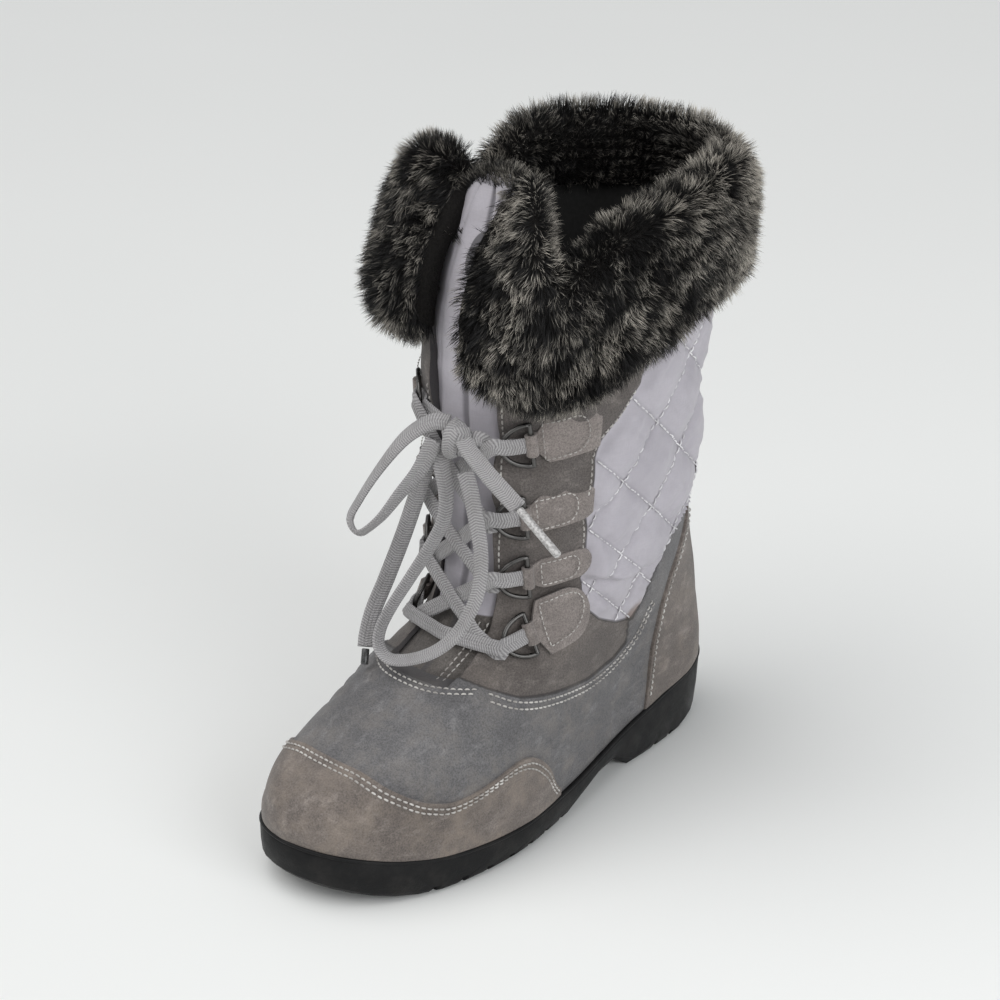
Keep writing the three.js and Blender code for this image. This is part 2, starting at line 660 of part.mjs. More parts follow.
// One lace between two rings, from inside the first to inside the second, over the tongue.
function lacing(from, to, fromOver, toOver) {
  const [a, b] = [ringAxes(from), ringAxes(to)];
  const rise = Math.sign(to.z - from.z);
  const start = pastRing(a, fromOver, rise);
  const end = pastRing(b, toOver, -rise).reverse();
  const bridge = [0.3, 0.5, 0.7].map((share) => {
    const at = start[2].at.clone().lerp(end[0].at, share);
    const front = read(SECTIONS, 'height', shaftHeight(-29, at.z), 'front');
    at.setY(Math.min(at.y, front - LACE_LIFT + Math.abs(share - 0.5) * 9));
    return { at, face: new THREE.Vector3(0, -1, 0.2).normalize() };
  });
  return ribbon([...start, ...bridge, ...end]);
}

function laceCrossings() {
  const ringOf = (side, number) => RINGS.find((r) => r.side === side && r.number === number);
  const parts = [lacing(ringOf('lateral', 1), ringOf('medial', 1), true, true)];
  for (let number = 1; number < 4; number += 1) {
    for (const [side, other] of [['lateral', 'medial'], ['medial', 'lateral']]) {
      parts.push(lacing(ringOf(side, number), ringOf(other, number + 1), false, true));
    }
  }
  const joined = parts.reduce((all, part) => all.add(part));
  return geometryOf(joined.subtract(form(GAP, COLLAR)), SMALL_PART_FINEST);
}

// A free cord's plain solid along its middle line.
const CORD_SECTION = { wide: 3.4, thin: 1.6, sides: 8 };

function cord(points, steps) {
  const { wide, thin, sides } = CORD_SECTION;
  const section = new THREE.Shape(
    Array.from({ length: sides }, (_, i) => (2 * Math.PI * (i + 0.5)) / sides).map(
      (angle) => new THREE.Vector2(thin * Math.cos(angle), wide * Math.sin(angle)),
    ),
  );
  const extrudePath = new THREE.CatmullRomCurve3(points.map((p) => new THREE.Vector3(...p)));
  return new THREE.ExtrudeGeometry(section, { steps, extrudePath, bevelEnabled: false });
}

function knot() {
  const geometry = new THREE.IcosahedronGeometry(1, 1);
  return geometry.scale(6.5, 4, 6.5).translate(KNOT.x, KNOT.y, KNOT.z);
}

// ---- assembly --------------------------------------------------------------------------------
const boot = new THREE.Group();

function add(name, geometry, color, roughness, metalness = 0) {
  const mesh = new THREE.Mesh(
    geometry,
    new THREE.MeshStandardMaterial({ color, roughness, metalness }),
  );
  mesh.name = name;
  boot.add(mesh);
}

add('outsole', outsole(), 0x202023, 0.6);
add('insole', insole(), 0x2a2a2c, 0.95);
add('upper', upper(), 0x7d7873, 0.95);
add('toe_cap', toeCap(), 0x857b74, 0.95);
add('heel_counter', heelCounter(), 0x857b74, 0.95);
add('tongue', tongue(), 0xa7a3ab, 0.7);
add('fur_cuff', furCuff(), 0x35322f, 1);

const body = form(GAP, COLLAR, 12);
const chapeSkin = form(GAP + CHAPE_THICKNESS, COLLAR - 10).subtract(body);
RINGS.forEach((ring) => {
  const name = `${ring.side}_${ring.number}`;
  add(`chape_${name}`, chape(ring, chapeSkin, body), 0x857b74, 0.95);
  add(`d_ring_${name}`, placed(ringGeometry(), ringAxes(ring)), 0x3c3a3a, 0.3, 1);
});
add('lace_crossings', laceCrossings(), 0x8e8a8c, 0.9);

// The origin is the middle of the boot's footprint on the floor.
const bounds = new THREE.Box3().setFromObject(boot);
const middle = bounds.getCenter(new THREE.Vector3());
boot.position.set(-middle.x, -middle.y, 0);

// The free lace hangs in front and doesn't count in the footprint.
const LACE_STEPS = { lace_loop_1: 20, lace_loop_2: 26, lace_end_1: 6, lace_end_2: 14 };
add('lace_knot', knot(), 0x8e8a8c, 0.9);
Object.entries(LACE_ROUTES).forEach(([name, points]) => {
  add(name, cord(points, LACE_STEPS[name]), 0x8e8a8c, 0.9);
});
Object.entries(AGLET_ENDS).forEach(([name, points]) => {
  add(name, cord(points, 1), 0xb8b5b2, 0.4);
});

const model = new THREE.Group();
model.add(boot);

export default model;
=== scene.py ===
"""Looks of a left winter boot: suede foot, quilted nylon shaft, fur cuff, flat lace, rubber sole.

Sizes are in millimetres in the boot's own axes (+X lateral, -Y toe, +Z up, origin in the middle of
the sole's length on the floor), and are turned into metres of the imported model's frame at the end.
"""
import logging
import math
from dataclasses import dataclass, field
from enum import Enum

import bpy
import numpy as np
from mathutils import Matrix, Vector


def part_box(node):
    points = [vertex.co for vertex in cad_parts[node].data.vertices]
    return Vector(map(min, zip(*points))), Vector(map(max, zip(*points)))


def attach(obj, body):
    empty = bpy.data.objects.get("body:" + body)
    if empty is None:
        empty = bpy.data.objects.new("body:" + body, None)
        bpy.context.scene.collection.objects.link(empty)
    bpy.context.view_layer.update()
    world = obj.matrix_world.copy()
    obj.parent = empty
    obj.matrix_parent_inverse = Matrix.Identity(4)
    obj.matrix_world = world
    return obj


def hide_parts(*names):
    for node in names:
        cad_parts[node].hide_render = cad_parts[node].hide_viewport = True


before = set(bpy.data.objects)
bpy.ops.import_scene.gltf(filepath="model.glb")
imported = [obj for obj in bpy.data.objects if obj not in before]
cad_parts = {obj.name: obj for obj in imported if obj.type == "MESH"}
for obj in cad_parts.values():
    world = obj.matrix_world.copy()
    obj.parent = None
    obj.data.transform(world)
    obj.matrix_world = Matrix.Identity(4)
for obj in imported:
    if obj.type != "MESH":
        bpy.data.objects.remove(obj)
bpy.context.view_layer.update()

Array, Piece, Material = np.ndarray, bpy.types.Object, bpy.types.Material
Socket, Node, Tree = bpy.types.NodeSocket, bpy.types.Node, bpy.types.NodeTree
LOG = logging.getLogger("boot")
MM = 0.001
SOLE_LENGTH = 275.0
BALL_REACH = 48.936  # the sole's widest place on the lateral side
TOE = -SOLE_LENGTH / 2
SHAFT_LIFT = 30.0  # the shaft's heights start this far above the floor
LIFT_FADE = 90.0  # and the foot's follow the feather line, less and less up to this height
FLANGE = 3.0  # how far the sole's rim stands out past the upper
COLLAR = 235.0
BODY = "root"
NOISE_CELLS = 17
CURVE_STEPS = 12
SAME_POINT = 0.00002  # metres


class Side(Enum):
    """The two sides of the boot, with the sign of X."""

    LATERAL = 1
    MEDIAL = -1


# ---- tools ----
@dataclass(frozen=True)
class Table:
    """A short table of sizes with named columns, read smoothly by its first column."""

    names: tuple
    rows: tuple

    def column(self, name: str) -> Array:
        """One column as an array."""
        return np.array([row[self.names.index(name)] for row in self.rows], float)

    def read(self, at: Array, name: str) -> Array:
        """Smooth values of a column.

        Args:
            at: places in the first column.
            name: the column.

        Returns:
            The values, with the shape of at.
        """
        keys, values = self.column(self.names[0]), self.column(name)
        slopes = np.empty_like(values)
        slopes[1:-1] = (values[2:] - values[:-2]) / (keys[2:] - keys[:-2])
        slopes[0] = (values[1] - values[0]) / (keys[1] - keys[0])
        slopes[-1] = (values[-1] - values[-2]) / (keys[-1] - keys[-2])
        to = np.clip(np.searchsorted(keys, at), 1, len(keys) - 1)
        span = keys[to] - keys[to - 1]
        t = np.clip((at - keys[to - 1]) / span, 0, 1)
        t2, t3 = t * t, t * t * t
        return (
            (2 * t3 - 3 * t2 + 1) * values[to - 1]
            + (t3 - 2 * t2 + t) * slopes[to - 1] * span
            + (3 * t2 - 2 * t3) * values[to]
            + (t3 - t2) * slopes[to] * span
        )


def unit(v: Array) -> Array:
    """Vectors of length one."""
    return v / np.maximum(np.linalg.norm(v, axis=-1, keepdims=True), 1e-9)


def smooth(low: float, high: float, at: Array) -> Array:
    """A soft step from 0 at low to 1 at high."""
    t = np.clip((at - low) / (high - low), 0, 1)
    return t * t * (3 - 2 * t)


def bump(at: Array, middle: float, width: float) -> Array:
    """A soft ridge of height 1 round a middle."""
    return np.exp(-(((at - middle) / width) ** 2))


def curve(a: Array, b: Array, c: Array, d: Array, t: Array) -> Array:
    """A place on a smooth curve from b to c, with a before them and d after."""
    line = 2 * b + (c - a) * t + (2 * a - 5 * b + 4 * c - d) * t * t
    return (line + (3 * b - a - 3 * c + d) * t**3) / 2


def spline(points: list, count: int) -> Array:
    """Evenly spaced points on a smooth curve through given ones.

    Args:
        points: the points.
        count: how many to give back.

    Returns:
        An array of count points.
    """
    p = np.array(points, float)
    q = np.vstack([2 * p[0] - p[1], p, 2 * p[-1] - p[-2]])
    steps = np.linspace(0, 1, CURVE_STEPS, endpoint=False)
    fine = [curve(*q[i : i + 4], t) for i in range(len(p) - 1) for t in steps]
    return respaced(np.array([*fine, p[-1]]), count)


def respaced(line: Array, count: int) -> Array:
    """A polyline's points at even distances along it."""
    steps = np.r_[0, np.cumsum(np.linalg.norm(np.diff(line, axis=0), axis=1))]
    at = np.linspace(0, steps[-1], count)
    return np.stack([np.interp(at, steps, line[:, k]) for k in range(line.shape[1])], 1)


def value_noise(p: Array, size: float, seed: int) -> Array:
    """Smooth noise from -1 to 1 at points in space.

    Args:
        p: points, an array of rows of three.
        size: the noise's cell in millimetres.
        seed: which noise.

    Returns:
        One value for each point.
    """
    lattice = np.random.default_rng(seed).uniform(-1, 1, (NOISE_CELLS,) * 3)
    q = p / size + 100
    i = np.floor(q).astype(int)
    f = q - i
    f = f * f * (3 - 2 * f)
    total = np.zeros(len(p))
    for dx in (0, 1):
        for dy in (0, 1):
            for dz in (0, 1):
                w = (
                    (f[:, 0] if dx else 1 - f[:, 0])
                    * (f[:, 1] if dy else 1 - f[:, 1])
                    * (f[:, 2] if dz else 1 - f[:, 2])
                )
                corner = (i + [dx, dy, dz]) % NOISE_CELLS
                total += w * lattice[corner[:, 0], corner[:, 1], corner[:, 2]]
    return total


def drift(p: Array, size: float, seed: int) -> Array:
    """Smooth random vectors at points in space."""
    return np.stack([value_noise(p, size, seed + k) for k in range(3)], 1)


def shift() -> Array:
    """From the boot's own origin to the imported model's, in millimetres."""
    low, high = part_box("outsole")
    return np.array([high.x / MM - BALL_REACH, (low.y + high.y) / 2 / MM, 0.0])


SHIFT = shift()


def to_frame(points: Array) -> Array:
    """Points in the boot's millimetres as metres in the frame."""
    return (np.asarray(points, float) + SHIFT) * MM


def linked(name: str, data: object) -> Piece:
    """A new object round its data, in the scene."""
    obj = bpy.data.objects.new(name, data)
    bpy.context.scene.collection.objects.link(obj)
    return obj


def new_mesh(name: str, points: Array, faces: Array) -> Piece:
    """A shaded-smooth mesh object from points and faces of equal size.

    Args:
        name: the piece's name.
        points: points in the boot's millimetres.
        faces: rows of point numbers.

    Returns:
        The object, at the origin.
    """
    mesh = bpy.data.meshes.new(name)
    count, corners = faces.shape
    mesh.vertices.add(len(points))
    mesh.vertices.foreach_set("co", to_frame(points).astype(np.float32).ravel())
    mesh.loops.add(count * corners)
    mesh.loops.foreach_set("vertex_index", faces.astype(np.int32).ravel())
    mesh.polygons.add(count)
    mesh.polygons.foreach_set("loop_start", np.arange(0, count * corners, corners, dtype=np.int32))
    mesh.polygons.foreach_set("use_smooth", np.ones(count, bool))
    mesh.update(calc_edges=True)
    mesh.validate()
    return linked(name, mesh)


def grid_faces(rows: int, columns: int, closed: bool) -> Array:
    """Quads of a grid whose points run row by row, closed across its columns or not."""
    r, c = np.meshgrid(
        np.arange(rows - 1), np.arange(columns if closed else columns - 1), indexing="ij"
    )
    r, c = r.ravel(), c.ravel()
    d = (c + 1) % columns
    return np.stack([r * columns + c, r * columns + d, (r + 1) * columns + d, (r + 1) * columns + c], 1)


def paint(obj: Piece, name: str, values: Array) -> None:
    """Stores one number for each point of a piece, for its material."""
    attribute = obj.data.attributes.new(name, "FLOAT", "POINT")
    attribute.data.foreach_set("value", np.asarray(values, np.float32))


def only(obj: Piece) -> None:
    """Makes a piece the only selected and the active one."""
    bpy.ops.object.select_all(action="DESELECT")
    obj.select_set(True)
    bpy.context.view_layer.objects.active = obj


def applied(obj: Piece, kind: str, **settings: object) -> None:
    """Adds a modifier with its settings and applies it."""
    only(obj)
    modifier = obj.modifiers.new(kind.lower(), kind)
    for key, value in settings.items():
        setattr(modifier, key, value)
    bpy.ops.object.modifier_apply(modifier=modifier.name)


def bevelled(obj: Piece, width: float, angle: float, segments: int = 2) -> None:
    """Rounds a piece's edges by millimetres where they turn by more than that many degrees."""
    applied(obj, "BEVEL", width=width * MM, segments=segments, limit_method="ANGLE",
            angle_limit=math.radians(angle))


def shaded(obj: Piece, angle: float) -> None:
    """Shades a piece smooth, apart from edges that turn by more than that many degrees."""
    only(obj)
    bpy.ops.object.shade_smooth_by_angle(angle=math.radians(angle))


def outward(obj: Piece, merge: float = 0.0, fill: bool = False) -> None:
    """Turns a piece's faces outwards.

    Args:
        obj: the piece.
        merge: distance below which its points are merged first.
        fill: whether its open ends are closed first.
    """
    only(obj)
    bpy.ops.object.mode_set(mode="EDIT")
    bpy.ops.mesh.select_all(action="SELECT")
    if merge:
        bpy.ops.mesh.remove_doubles(threshold=merge)
    if fill:
        bpy.ops.mesh.fill_holes(sides=0)
        bpy.ops.mesh.select_all(action="SELECT")
    bpy.ops.mesh.normals_make_consistent(inside=False)
    bpy.ops.object.mode_set(mode="OBJECT")


def from_node(name: str, node: str, bevel: float = 0.0) -> Piece:
    """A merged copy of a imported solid, with its edges rounded, that stands for it.

    Args:
        name: the new piece's name.
        node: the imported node.
        bevel: the edges' rounding in millimetres.

    Returns:
        The piece.
    """
    obj = linked(name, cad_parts[node].data.copy())
    obj.data.materials.clear()
    only(obj)
    bpy.ops.object.mode_set(mode="EDIT")
    bpy.ops.mesh.select_all(action="SELECT")
    bpy.ops.mesh.remove_doubles(threshold=SAME_POINT)
    bpy.ops.mesh.dissolve_limited(angle_limit=math.radians(1.0))
    bpy.ops.object.mode_set(mode="OBJECT")
    if bevel:
        bevelled(obj, bevel, 32)
    shaded(obj, 38)
    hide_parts(node)
    return obj


def dress(obj: Piece, material: Material) -> Piece:
    """Gives a piece its material and slot, lets it ride and reports it.

    Args:
        obj: the finished piece.
        material: its material.

    Returns:
        The piece.
    """
    obj.data.materials.clear()
    obj.data.materials.append(material)
    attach(obj, BODY)
    LOG.info("%s: %d faces", obj.name, len(obj.data.polygons))
    return obj


# ---- the last ----
@dataclass(frozen=True)
class Last:
    """The form that the boot is built on: its sections, its sole outline and its feather line."""

    outline: Table = Table(
        ("around", "lateral", "medial"),
        (
            (0.0, -5, -5), (0.1, 15, -25), (0.2, 32, -39.5), (0.3, 44, -46.5), (0.4, 49, -47),
            (0.5, 45, -38), (0.6, 38.5, -31), (0.7, 35.5, -32), (0.8, 31, -30), (0.9, 19, -19),
            (1.0, 0, 0),
        ),
    )
    profile: Table = Table(
        ("along", "top", "bottom", "tuck"),
        (
            (0.0, 29, 12, 3), (0.05, 25, 7, 3), (0.12, 20.5, 2.2, 3), (0.2, 17, 0, 3),
            (0.36, 15, 0, 4), (0.5, 17, 0, 7), (0.56, 18.8, 3.5, 9), (0.62, 21, 7.5, 9),
            (0.67, 23.4, 8.5, 7), (0.7, 25, 0, 5), (0.8, 29.5, 0, 4), (0.92, 33, 0, 4),
            (1.0, 34, 3, 3),
        ),
    )
    sections: Table = Table(
        ("height", "front", "back", "half", "foot", "nose", "heel", "lean"),
        (
            (0, -134.5, 134.5, 40, 1.0, 14, 14, 0), (8, -135.5, 136, 40, 1.0, 9, 8, 0),
            (15, -132, 137, 40, 0.98, 6.5, 5.5, 0), (22, -125, 137, 40, 0.95, 5, 4.3, 0),
            (29, -113.5, 136, 40, 0.91, 4.2, 3.8, 0), (37, -100.5, 134, 40, 0.86, 3.4, 3.4, 0),
            (45, -87, 131, 40, 0.79, 2.9, 3.1, 0), (53, -71.5, 127.5, 39.5, 0.69, 2.6, 2.9, 0),
            (61, -52.5, 123.5, 39.5, 0.56, 2.4, 2.7, 0), (69, -39.5, 119.5, 39.5, 0.42, 2.3, 2.6, 0),
            (80, -32.5, 115.5, 40, 0.27, 2.25, 2.5, 0), (98, -29.5, 112, 41.5, 0.1, 2.3, 2.4, -0.5),
            (122, -28.5, 111.5, 44, 0, 2.5, 2.4, -1.5), (155, -28.5, 113, 46.5, 0, 2.5, 2.4, -3),
            (195, -28.5, 116, 49, 0, 2.5, 2.4, -5), (235, -28.5, 119, 51, 0, 2.5, 2.4, -7),
            (275, -28.5, 121, 52, 0, 2.5, 2.4, -8.5),
        ),
    )

    def along(self, y: Array) -> Array:
        """Share of the sole's length at a place along Y."""
        return np.clip((y - TOE) / SOLE_LENGTH, 0, 1)

    def feather(self, y: Array) -> Array:
        """Height of the feather line, where upper and sole meet."""
        return self.profile.read(self.along(y), "top")

    def edge(self, y: Array, side: Array) -> Array:
        """X of the sole's outline at places along Y, on the side that side's sign gives."""
        around = np.arccos(1 - 2 * self.along(y)) / math.pi
        lateral, medial = (self.outline.read(around, k) for k in ("lateral", "medial"))
        return np.where(side > 0, lateral, medial)

    def lifted(self, y: Array, height: Array) -> Array:
        """Height above the floor of points whose height is measured from the feather line."""
        fade = np.clip(height / LIFT_FADE, 0, 1)
        return height + self.feather(y) * (1 - fade) + SHAFT_LIFT * fade

    def height(self, y: Array, z: Array) -> Array:
        """Height above the feather line of a place on the boot's side."""
        top = self.feather(y)
        low = (z - top) / (1 + (SHAFT_LIFT - top) / LIFT_FADE)
        return np.where(z < LIFT_FADE + SHAFT_LIFT, low, z - SHAFT_LIFT)

    def turn(self, y: Array, height: Array) -> Array:
        """Turn round a section, 0 at its front and 1 at its back, of a place along Y."""
        front, back = (self.sections.read(height, k) for k in ("front", "back"))
        return np.arccos(np.clip(1 - 2 * (y - front) / (back - front), -1, 1)) / math.pi

    def place(self, y: Array, z: Array, side: Side) -> tuple:
        """Heights above the feather line and turns of places on one side of the boot."""
        height = self.height(y, z)
        return height, self.turn(y, height) * side.value

    def point(self, height: Array, turn: Array) -> Array:
        """Points on the upper's outer face.

        Args:
            height: heights above the feather line.
            turn: 0 at the front, 1 at the back, negative on the medial side.

        Returns:
            The points, with a last axis of three.
        """
        turn = np.where(turn > 1, turn - 2, np.where(turn < -1, turn + 2, turn))
        side = np.where(turn >= 0, 1, -1)
        turn = np.abs(turn)
        row = {k: self.sections.read(height, k) for k in self.sections.names[1:]}
        swing = np.cos(math.pi * turn)
        y = row["front"] + (row["back"] - row["front"]) * (1 - swing) / 2
        square = np.where(turn < 0.5, row["nose"], row["heel"])
        close = np.maximum(1 - np.abs(swing) ** square, 0) ** (1 / square)
        end = np.abs(np.where(y < 0, row["front"], row["back"]))
        inner = y * -TOE / np.maximum(-TOE - FLANGE, end)
        lateral, medial = self.edge(inner, np.ones_like(y)), self.edge(inner, -np.ones_like(y))
        middle = (lateral + medial) / 2
        reach = np.abs(np.where(side > 0, lateral, medial) - middle)
        foot_half = np.maximum(reach - FLANGE * np.sin(math.pi * turn), 0)
        half = row["foot"] * foot_half + (1 - row["foot"]) * row["half"]
        x = row["foot"] * middle + row["lean"] + side * half * close
        return np.stack([x, y, self.lifted(y, height)], -1)

    def normal(self, height: Array, turn: Array) -> Array:
        """Outward normals of the outer face at heights and turns."""
        step, rise = 0.02, 2.0
        low = np.maximum(height - rise, 0)
        around = self.point(height, turn + step) - self.point(height, turn - step)
        up = self.point(height + rise, turn) - self.point(low, turn)
        return unit(np.cross(around, up))

    def surface(self, height: Array, turn: Array, offset: Array) -> Array:
        """Points at an offset outwards from the outer face."""
        height, turn, offset = np.broadcast_arrays(
            np.asarray(height, float), np.asarray(turn, float), np.asarray(offset, float)
        )
        return self.point(height, turn) + self.normal(height, turn) * offset[..., None]


LAST = Last()


# ---- panels of the upper ----
@dataclass(frozen=True)
class Panels:
    """Where the upper's panels meet, drawn from the side as Y and Z, and how the shaft folds."""

    vamp_top: tuple = (
        (-58, 86), (-54, 85), (-47, 81), (-35, 75.5), (-14, 70.5), (13, 66.5), (35, 67.5),
        (51, 74), (64, 88), (74, 106), (82, 124),
    )
    nylon_low: tuple = (
        (8, 122), (12, 102), (22, 93), (36, 86), (50, 83), (60, 93), (70, 108), (80, 123),
        (88, 138), (96, 152), (112, 160), (125, 164),
    )
    facing_rear: tuple = (
        (60, 4), (100, 7), (122, 9), (155, 7.5), (177, 9), (190, 18), (205, 34), (240, 46),
    )
    fold: tuple = ((-30, 122), (9, 119), (30, 112), (57, 111), (76, 125), (90, 142))
    quilt_down: tuple = ((96, -1), (124, 0), (150, 1), (184, 2), (225, 3), (272, 4), (320, 5))
    quilt_up: float = 40.0
    quilt_start: float = 134.0

    @staticmethod
    def across(rows: tuple, at: Array) -> Array:
        """The second column at places in the first, straight between rows."""
        table = np.array(rows, float)
        return np.interp(at, table[:, 0], table[:, 1])

    def masks(self, p: Array, height: Array) -> dict:
        """How far each point lies inside each panel, in millimetres.

        Args:
            p: points on the outer face.
            height: their heights above the feather line.

        Returns:
            Distances by the panel's name, positive inside.
        """
        y, z = p[:, 1], p[:, 2]
        nylon = np.minimum(z - self.across(self.nylon_low, y), y - self.across(self.facing_rear, z))
        vamp = self.across(self.vamp_top, y) - z
        behind = np.minimum(y - 46, -nylon)
        return {
            "nylon": nylon,
            "vamp": np.maximum(vamp, behind),
            "facing": np.minimum(self.across(self.facing_rear, z) - y, z - 121),
            "back": np.minimum(y - (self.back_line(height) - 3.2), z - 128),
        }

    @staticmethod
    def back_line(height: Array) -> Array:
        """Y of the boot's back at heights."""
        return LAST.sections.read(height, "back")

    def quilt(self, p: Array) -> Array:
        """Places in the quilting: rows of two numbers that are whole on the stitch lines."""
        y, z = p[:, 1], p[:, 2]
        down = self.across(self.quilt_down, z + 0.85 * y)
        up = (z - 1.0 * y - self.quilt_start) / self.quilt_up
        return np.stack([down, up], 1)

    def relief(self, p: Array, masks: dict) -> Array:
        """How far the upper's face stands off the last: panel edges, padding, folds, creases.

        Args:
            p: points on the last.
            masks: the panels' distances at them.

        Returns:
            Millimetres outwards.
        """
        y, z = p[:, 1], p[:, 2]
        nylon = smooth(-0.6, 0.8, masks["nylon"])
        vamp = smooth(-0.5, 0.5, masks["vamp"])
        facing = smooth(-0.5, 0.5, masks["facing"])
        q = self.quilt(p)
        puff = np.abs(np.sin(math.pi * q[:, 0]) * np.sin(math.pi * q[:, 1])) ** 0.45
        inside = smooth(0, 9, masks["nylon"])
        out = nylon * inside * (4.6 * puff - 0.6)
        pull = value_noise(np.stack([(y + z) * 0.35, (y - z) * 1.5, z * 0.2], 1), 7, 3)
        tight = value_noise(np.stack([(y - z) * 0.4, (y + z) * 1.8, z * 0.3], 1), 5, 4)
        out += nylon * inside * (1.1 * pull + 0.8 * tight) * (1.1 - 0.5 * puff)
        line = self.across(self.fold, y)
        gap = z - line
        hang = smooth(-1.2, 1.4, gap) * np.exp(-np.maximum(gap, 0) / 22)
        sunk = (1 - smooth(-1.2, 1.4, gap)) * np.exp(-np.maximum(-gap, 0) / 12)
        at_side = smooth(-32, -22, y) * (1 - smooth(92, 104, y))
        behind = smooth(8, 16, y)
        out += at_side * ((0.3 + 3.7 * behind) * hang - (2.0 + 0.8 * behind) * sunk)
        out += 0.9 * vamp * (1 - nylon) + 1.0 * facing * (1 - nylon)
        front = 1 - smooth(10, 40, y)
        for middle, depth, width in ((151, 2.2, 5), (185, 2.0, 5.5)):
            out -= front * depth * bump(z + 0.12 * y, middle, width)
            out += front * 0.5 * depth * bump(z + 0.12 * y, middle + 16, 9)
        ripple = value_noise(p * [0.5, 0.5, 1.6], 16, 9)
        out += facing * 0.3 * ripple
        out += (1 - nylon) * 0.45 * value_noise(p, 26, 5) + (1 - nylon) * 0.16 * value_noise(p, 9, 6)
        for place, depth in ((-78, 0.9), (-68, 1.1), (-59, 0.7)):
            line_y = y + 0.25 * (z - 60) + 2.5 * value_noise(p * [1, 0, 1], 22, 12)
            out -= vamp * depth * bump(line_y, place, 2.6) * smooth(44, 62, z)
        ankle = value_noise(np.stack([y * 0.5, z * 1.4 + 0.5 * y, p[:, 0] * 0.4], 1), 9, 15)
        quarter = (1 - nylon) * (1 - vamp) * (1 - facing)
        out += quarter * 0.5 * ankle
        return out


PANELS = Panels()


@dataclass
class Upper:
    """The upper: a suede foot and facings, quilted nylon sides, one wall with its lining."""

    columns: int = 300
    wall: float = 3.0
    unseen: float = -20.0
    throat: Table = Table(
        ("z", "half"),
        ((86, 19), (100, 18), (125, 16.5), (160, 16), (200, 19), (235, 22), (262, 32), (300, 36)),
    )

    def rows(self) -> Array:
        """Heights of the outer face's rows, closest over the vamp."""
        low, vamp = np.linspace(0, 15, 12)[:-1], np.linspace(15, 76, 92)[:-1]
        return np.r_[low, vamp, np.linspace(76, COLLAR, 112)]

    def build(self) -> Piece:
        """The whole wall, open at the throat, the collar and underneath.

        Returns:
            The piece.
        """
        turns = np.linspace(-1, 1, self.columns, endpoint=False)
        rows = self.rows()
        height, turn = np.meshgrid(rows, turns, indexing="ij")
        base = LAST.point(height, turn).reshape(-1, 3)
        flat = height.ravel()
        masks = PANELS.masks(base, flat)
        relief = PANELS.relief(base, masks)
        outer = base + LAST.normal(flat, turn.ravel()) * relief[:, None]
        inner_rows = np.linspace(COLLAR, 0, 26)
        inner_height, inner_turn = np.meshgrid(inner_rows, turns, indexing="ij")
        inner = LAST.surface(inner_height, inner_turn, -self.wall).reshape(-1, 3)
        points = np.vstack([outer, inner])
        faces = grid_faces(len(rows) + len(inner_rows), self.columns, True)
        here = np.arange(self.columns)
        ahead = (here + 1) % self.columns
        last = (len(rows) + len(inner_rows) - 1) * self.columns
        foot = np.stack([last + here, last + ahead, ahead, here], 1)
        obj = new_mesh("upper_shell", points, np.vstack([faces, foot]))
        for name, values in masks.items():
            paint(obj, name, np.r_[values, np.full(len(inner), self.unseen)])
        quilt = PANELS.quilt(base)
        paint(obj, "quilt_down", np.r_[quilt[:, 0], np.full(len(inner), 0.5)])
        paint(obj, "quilt_up", np.r_[quilt[:, 1], np.full(len(inner), 0.5)])
        paint(obj, "lining", np.r_[np.zeros(len(outer)), np.ones(len(inner))])
        self.cut_throat(obj)
        return obj

    def cut_throat(self, obj: Piece) -> None:
        """Takes the throat's opening out between the facings.

        Args:
            obj: the upper's wall.
        """
        z = np.linspace(82, 300, 60)
        half = self.throat.read(z, "half")
        lean = LAST.sections.read(z - SHAFT_LIFT, "lean")
        ahead = np.full(len(z), -90.0)
        front = np.vstack([np.stack([lean + half, ahead, z], 1), np.stack([lean - half, ahead, z], 1)[::-1]])
        back = front + [0, 110, 0]
        count = len(front)
        cutter = linked("throat_cutter", bpy.data.meshes.new("throat_cutter"))
        faces = [(i, (i + 1) % count, (i + 1) % count + count, i + count) for i in range(count)]
        faces += [tuple(range(count))[::-1], tuple(range(count, 2 * count))]
        cutter.data.from_pydata([tuple(p) for p in to_frame(np.vstack([front, back]))], [], faces)
        outward(cutter)
        applied(obj, "BOOLEAN", object=cutter, operation="DIFFERENCE", solver="EXACT")
        bpy.data.objects.remove(cutter)


@dataclass
class Overlay:
    """A suede overlay on the upper: a patch of the last raised by its thickness."""

    name: str
    node: str
    thickness: float = 1.5

    def raised(self, height: Array, turn: Array) -> Piece:
        """The patch over a grid of heights and turns, with its turned edge.

        Args:
            height: heights, a grid.
            turn: turns, a grid of the same shape.

        Returns:
            The piece.
        """
        rows, columns = height.shape
        base = LAST.point(height, turn).reshape(-1, 3)
        soft = 0.35 * value_noise(base, 24, 21) + 0.12 * value_noise(base, 8, 22)
        lift = (self.thickness + 0.9 + soft).reshape(rows, columns)
        outer = LAST.surface(height, turn, lift).reshape(-1, 3)
        obj = new_mesh(self.name, outer, grid_faces(rows, columns, False))
        outward(obj, merge=2 * SAME_POINT)
        applied(obj, "SOLIDIFY", thickness=(self.thickness + 1.2) * MM, offset=-1)
        bevelled(obj, 0.45, 55)
        shaded(obj, 50)
        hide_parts(self.node)
        return obj


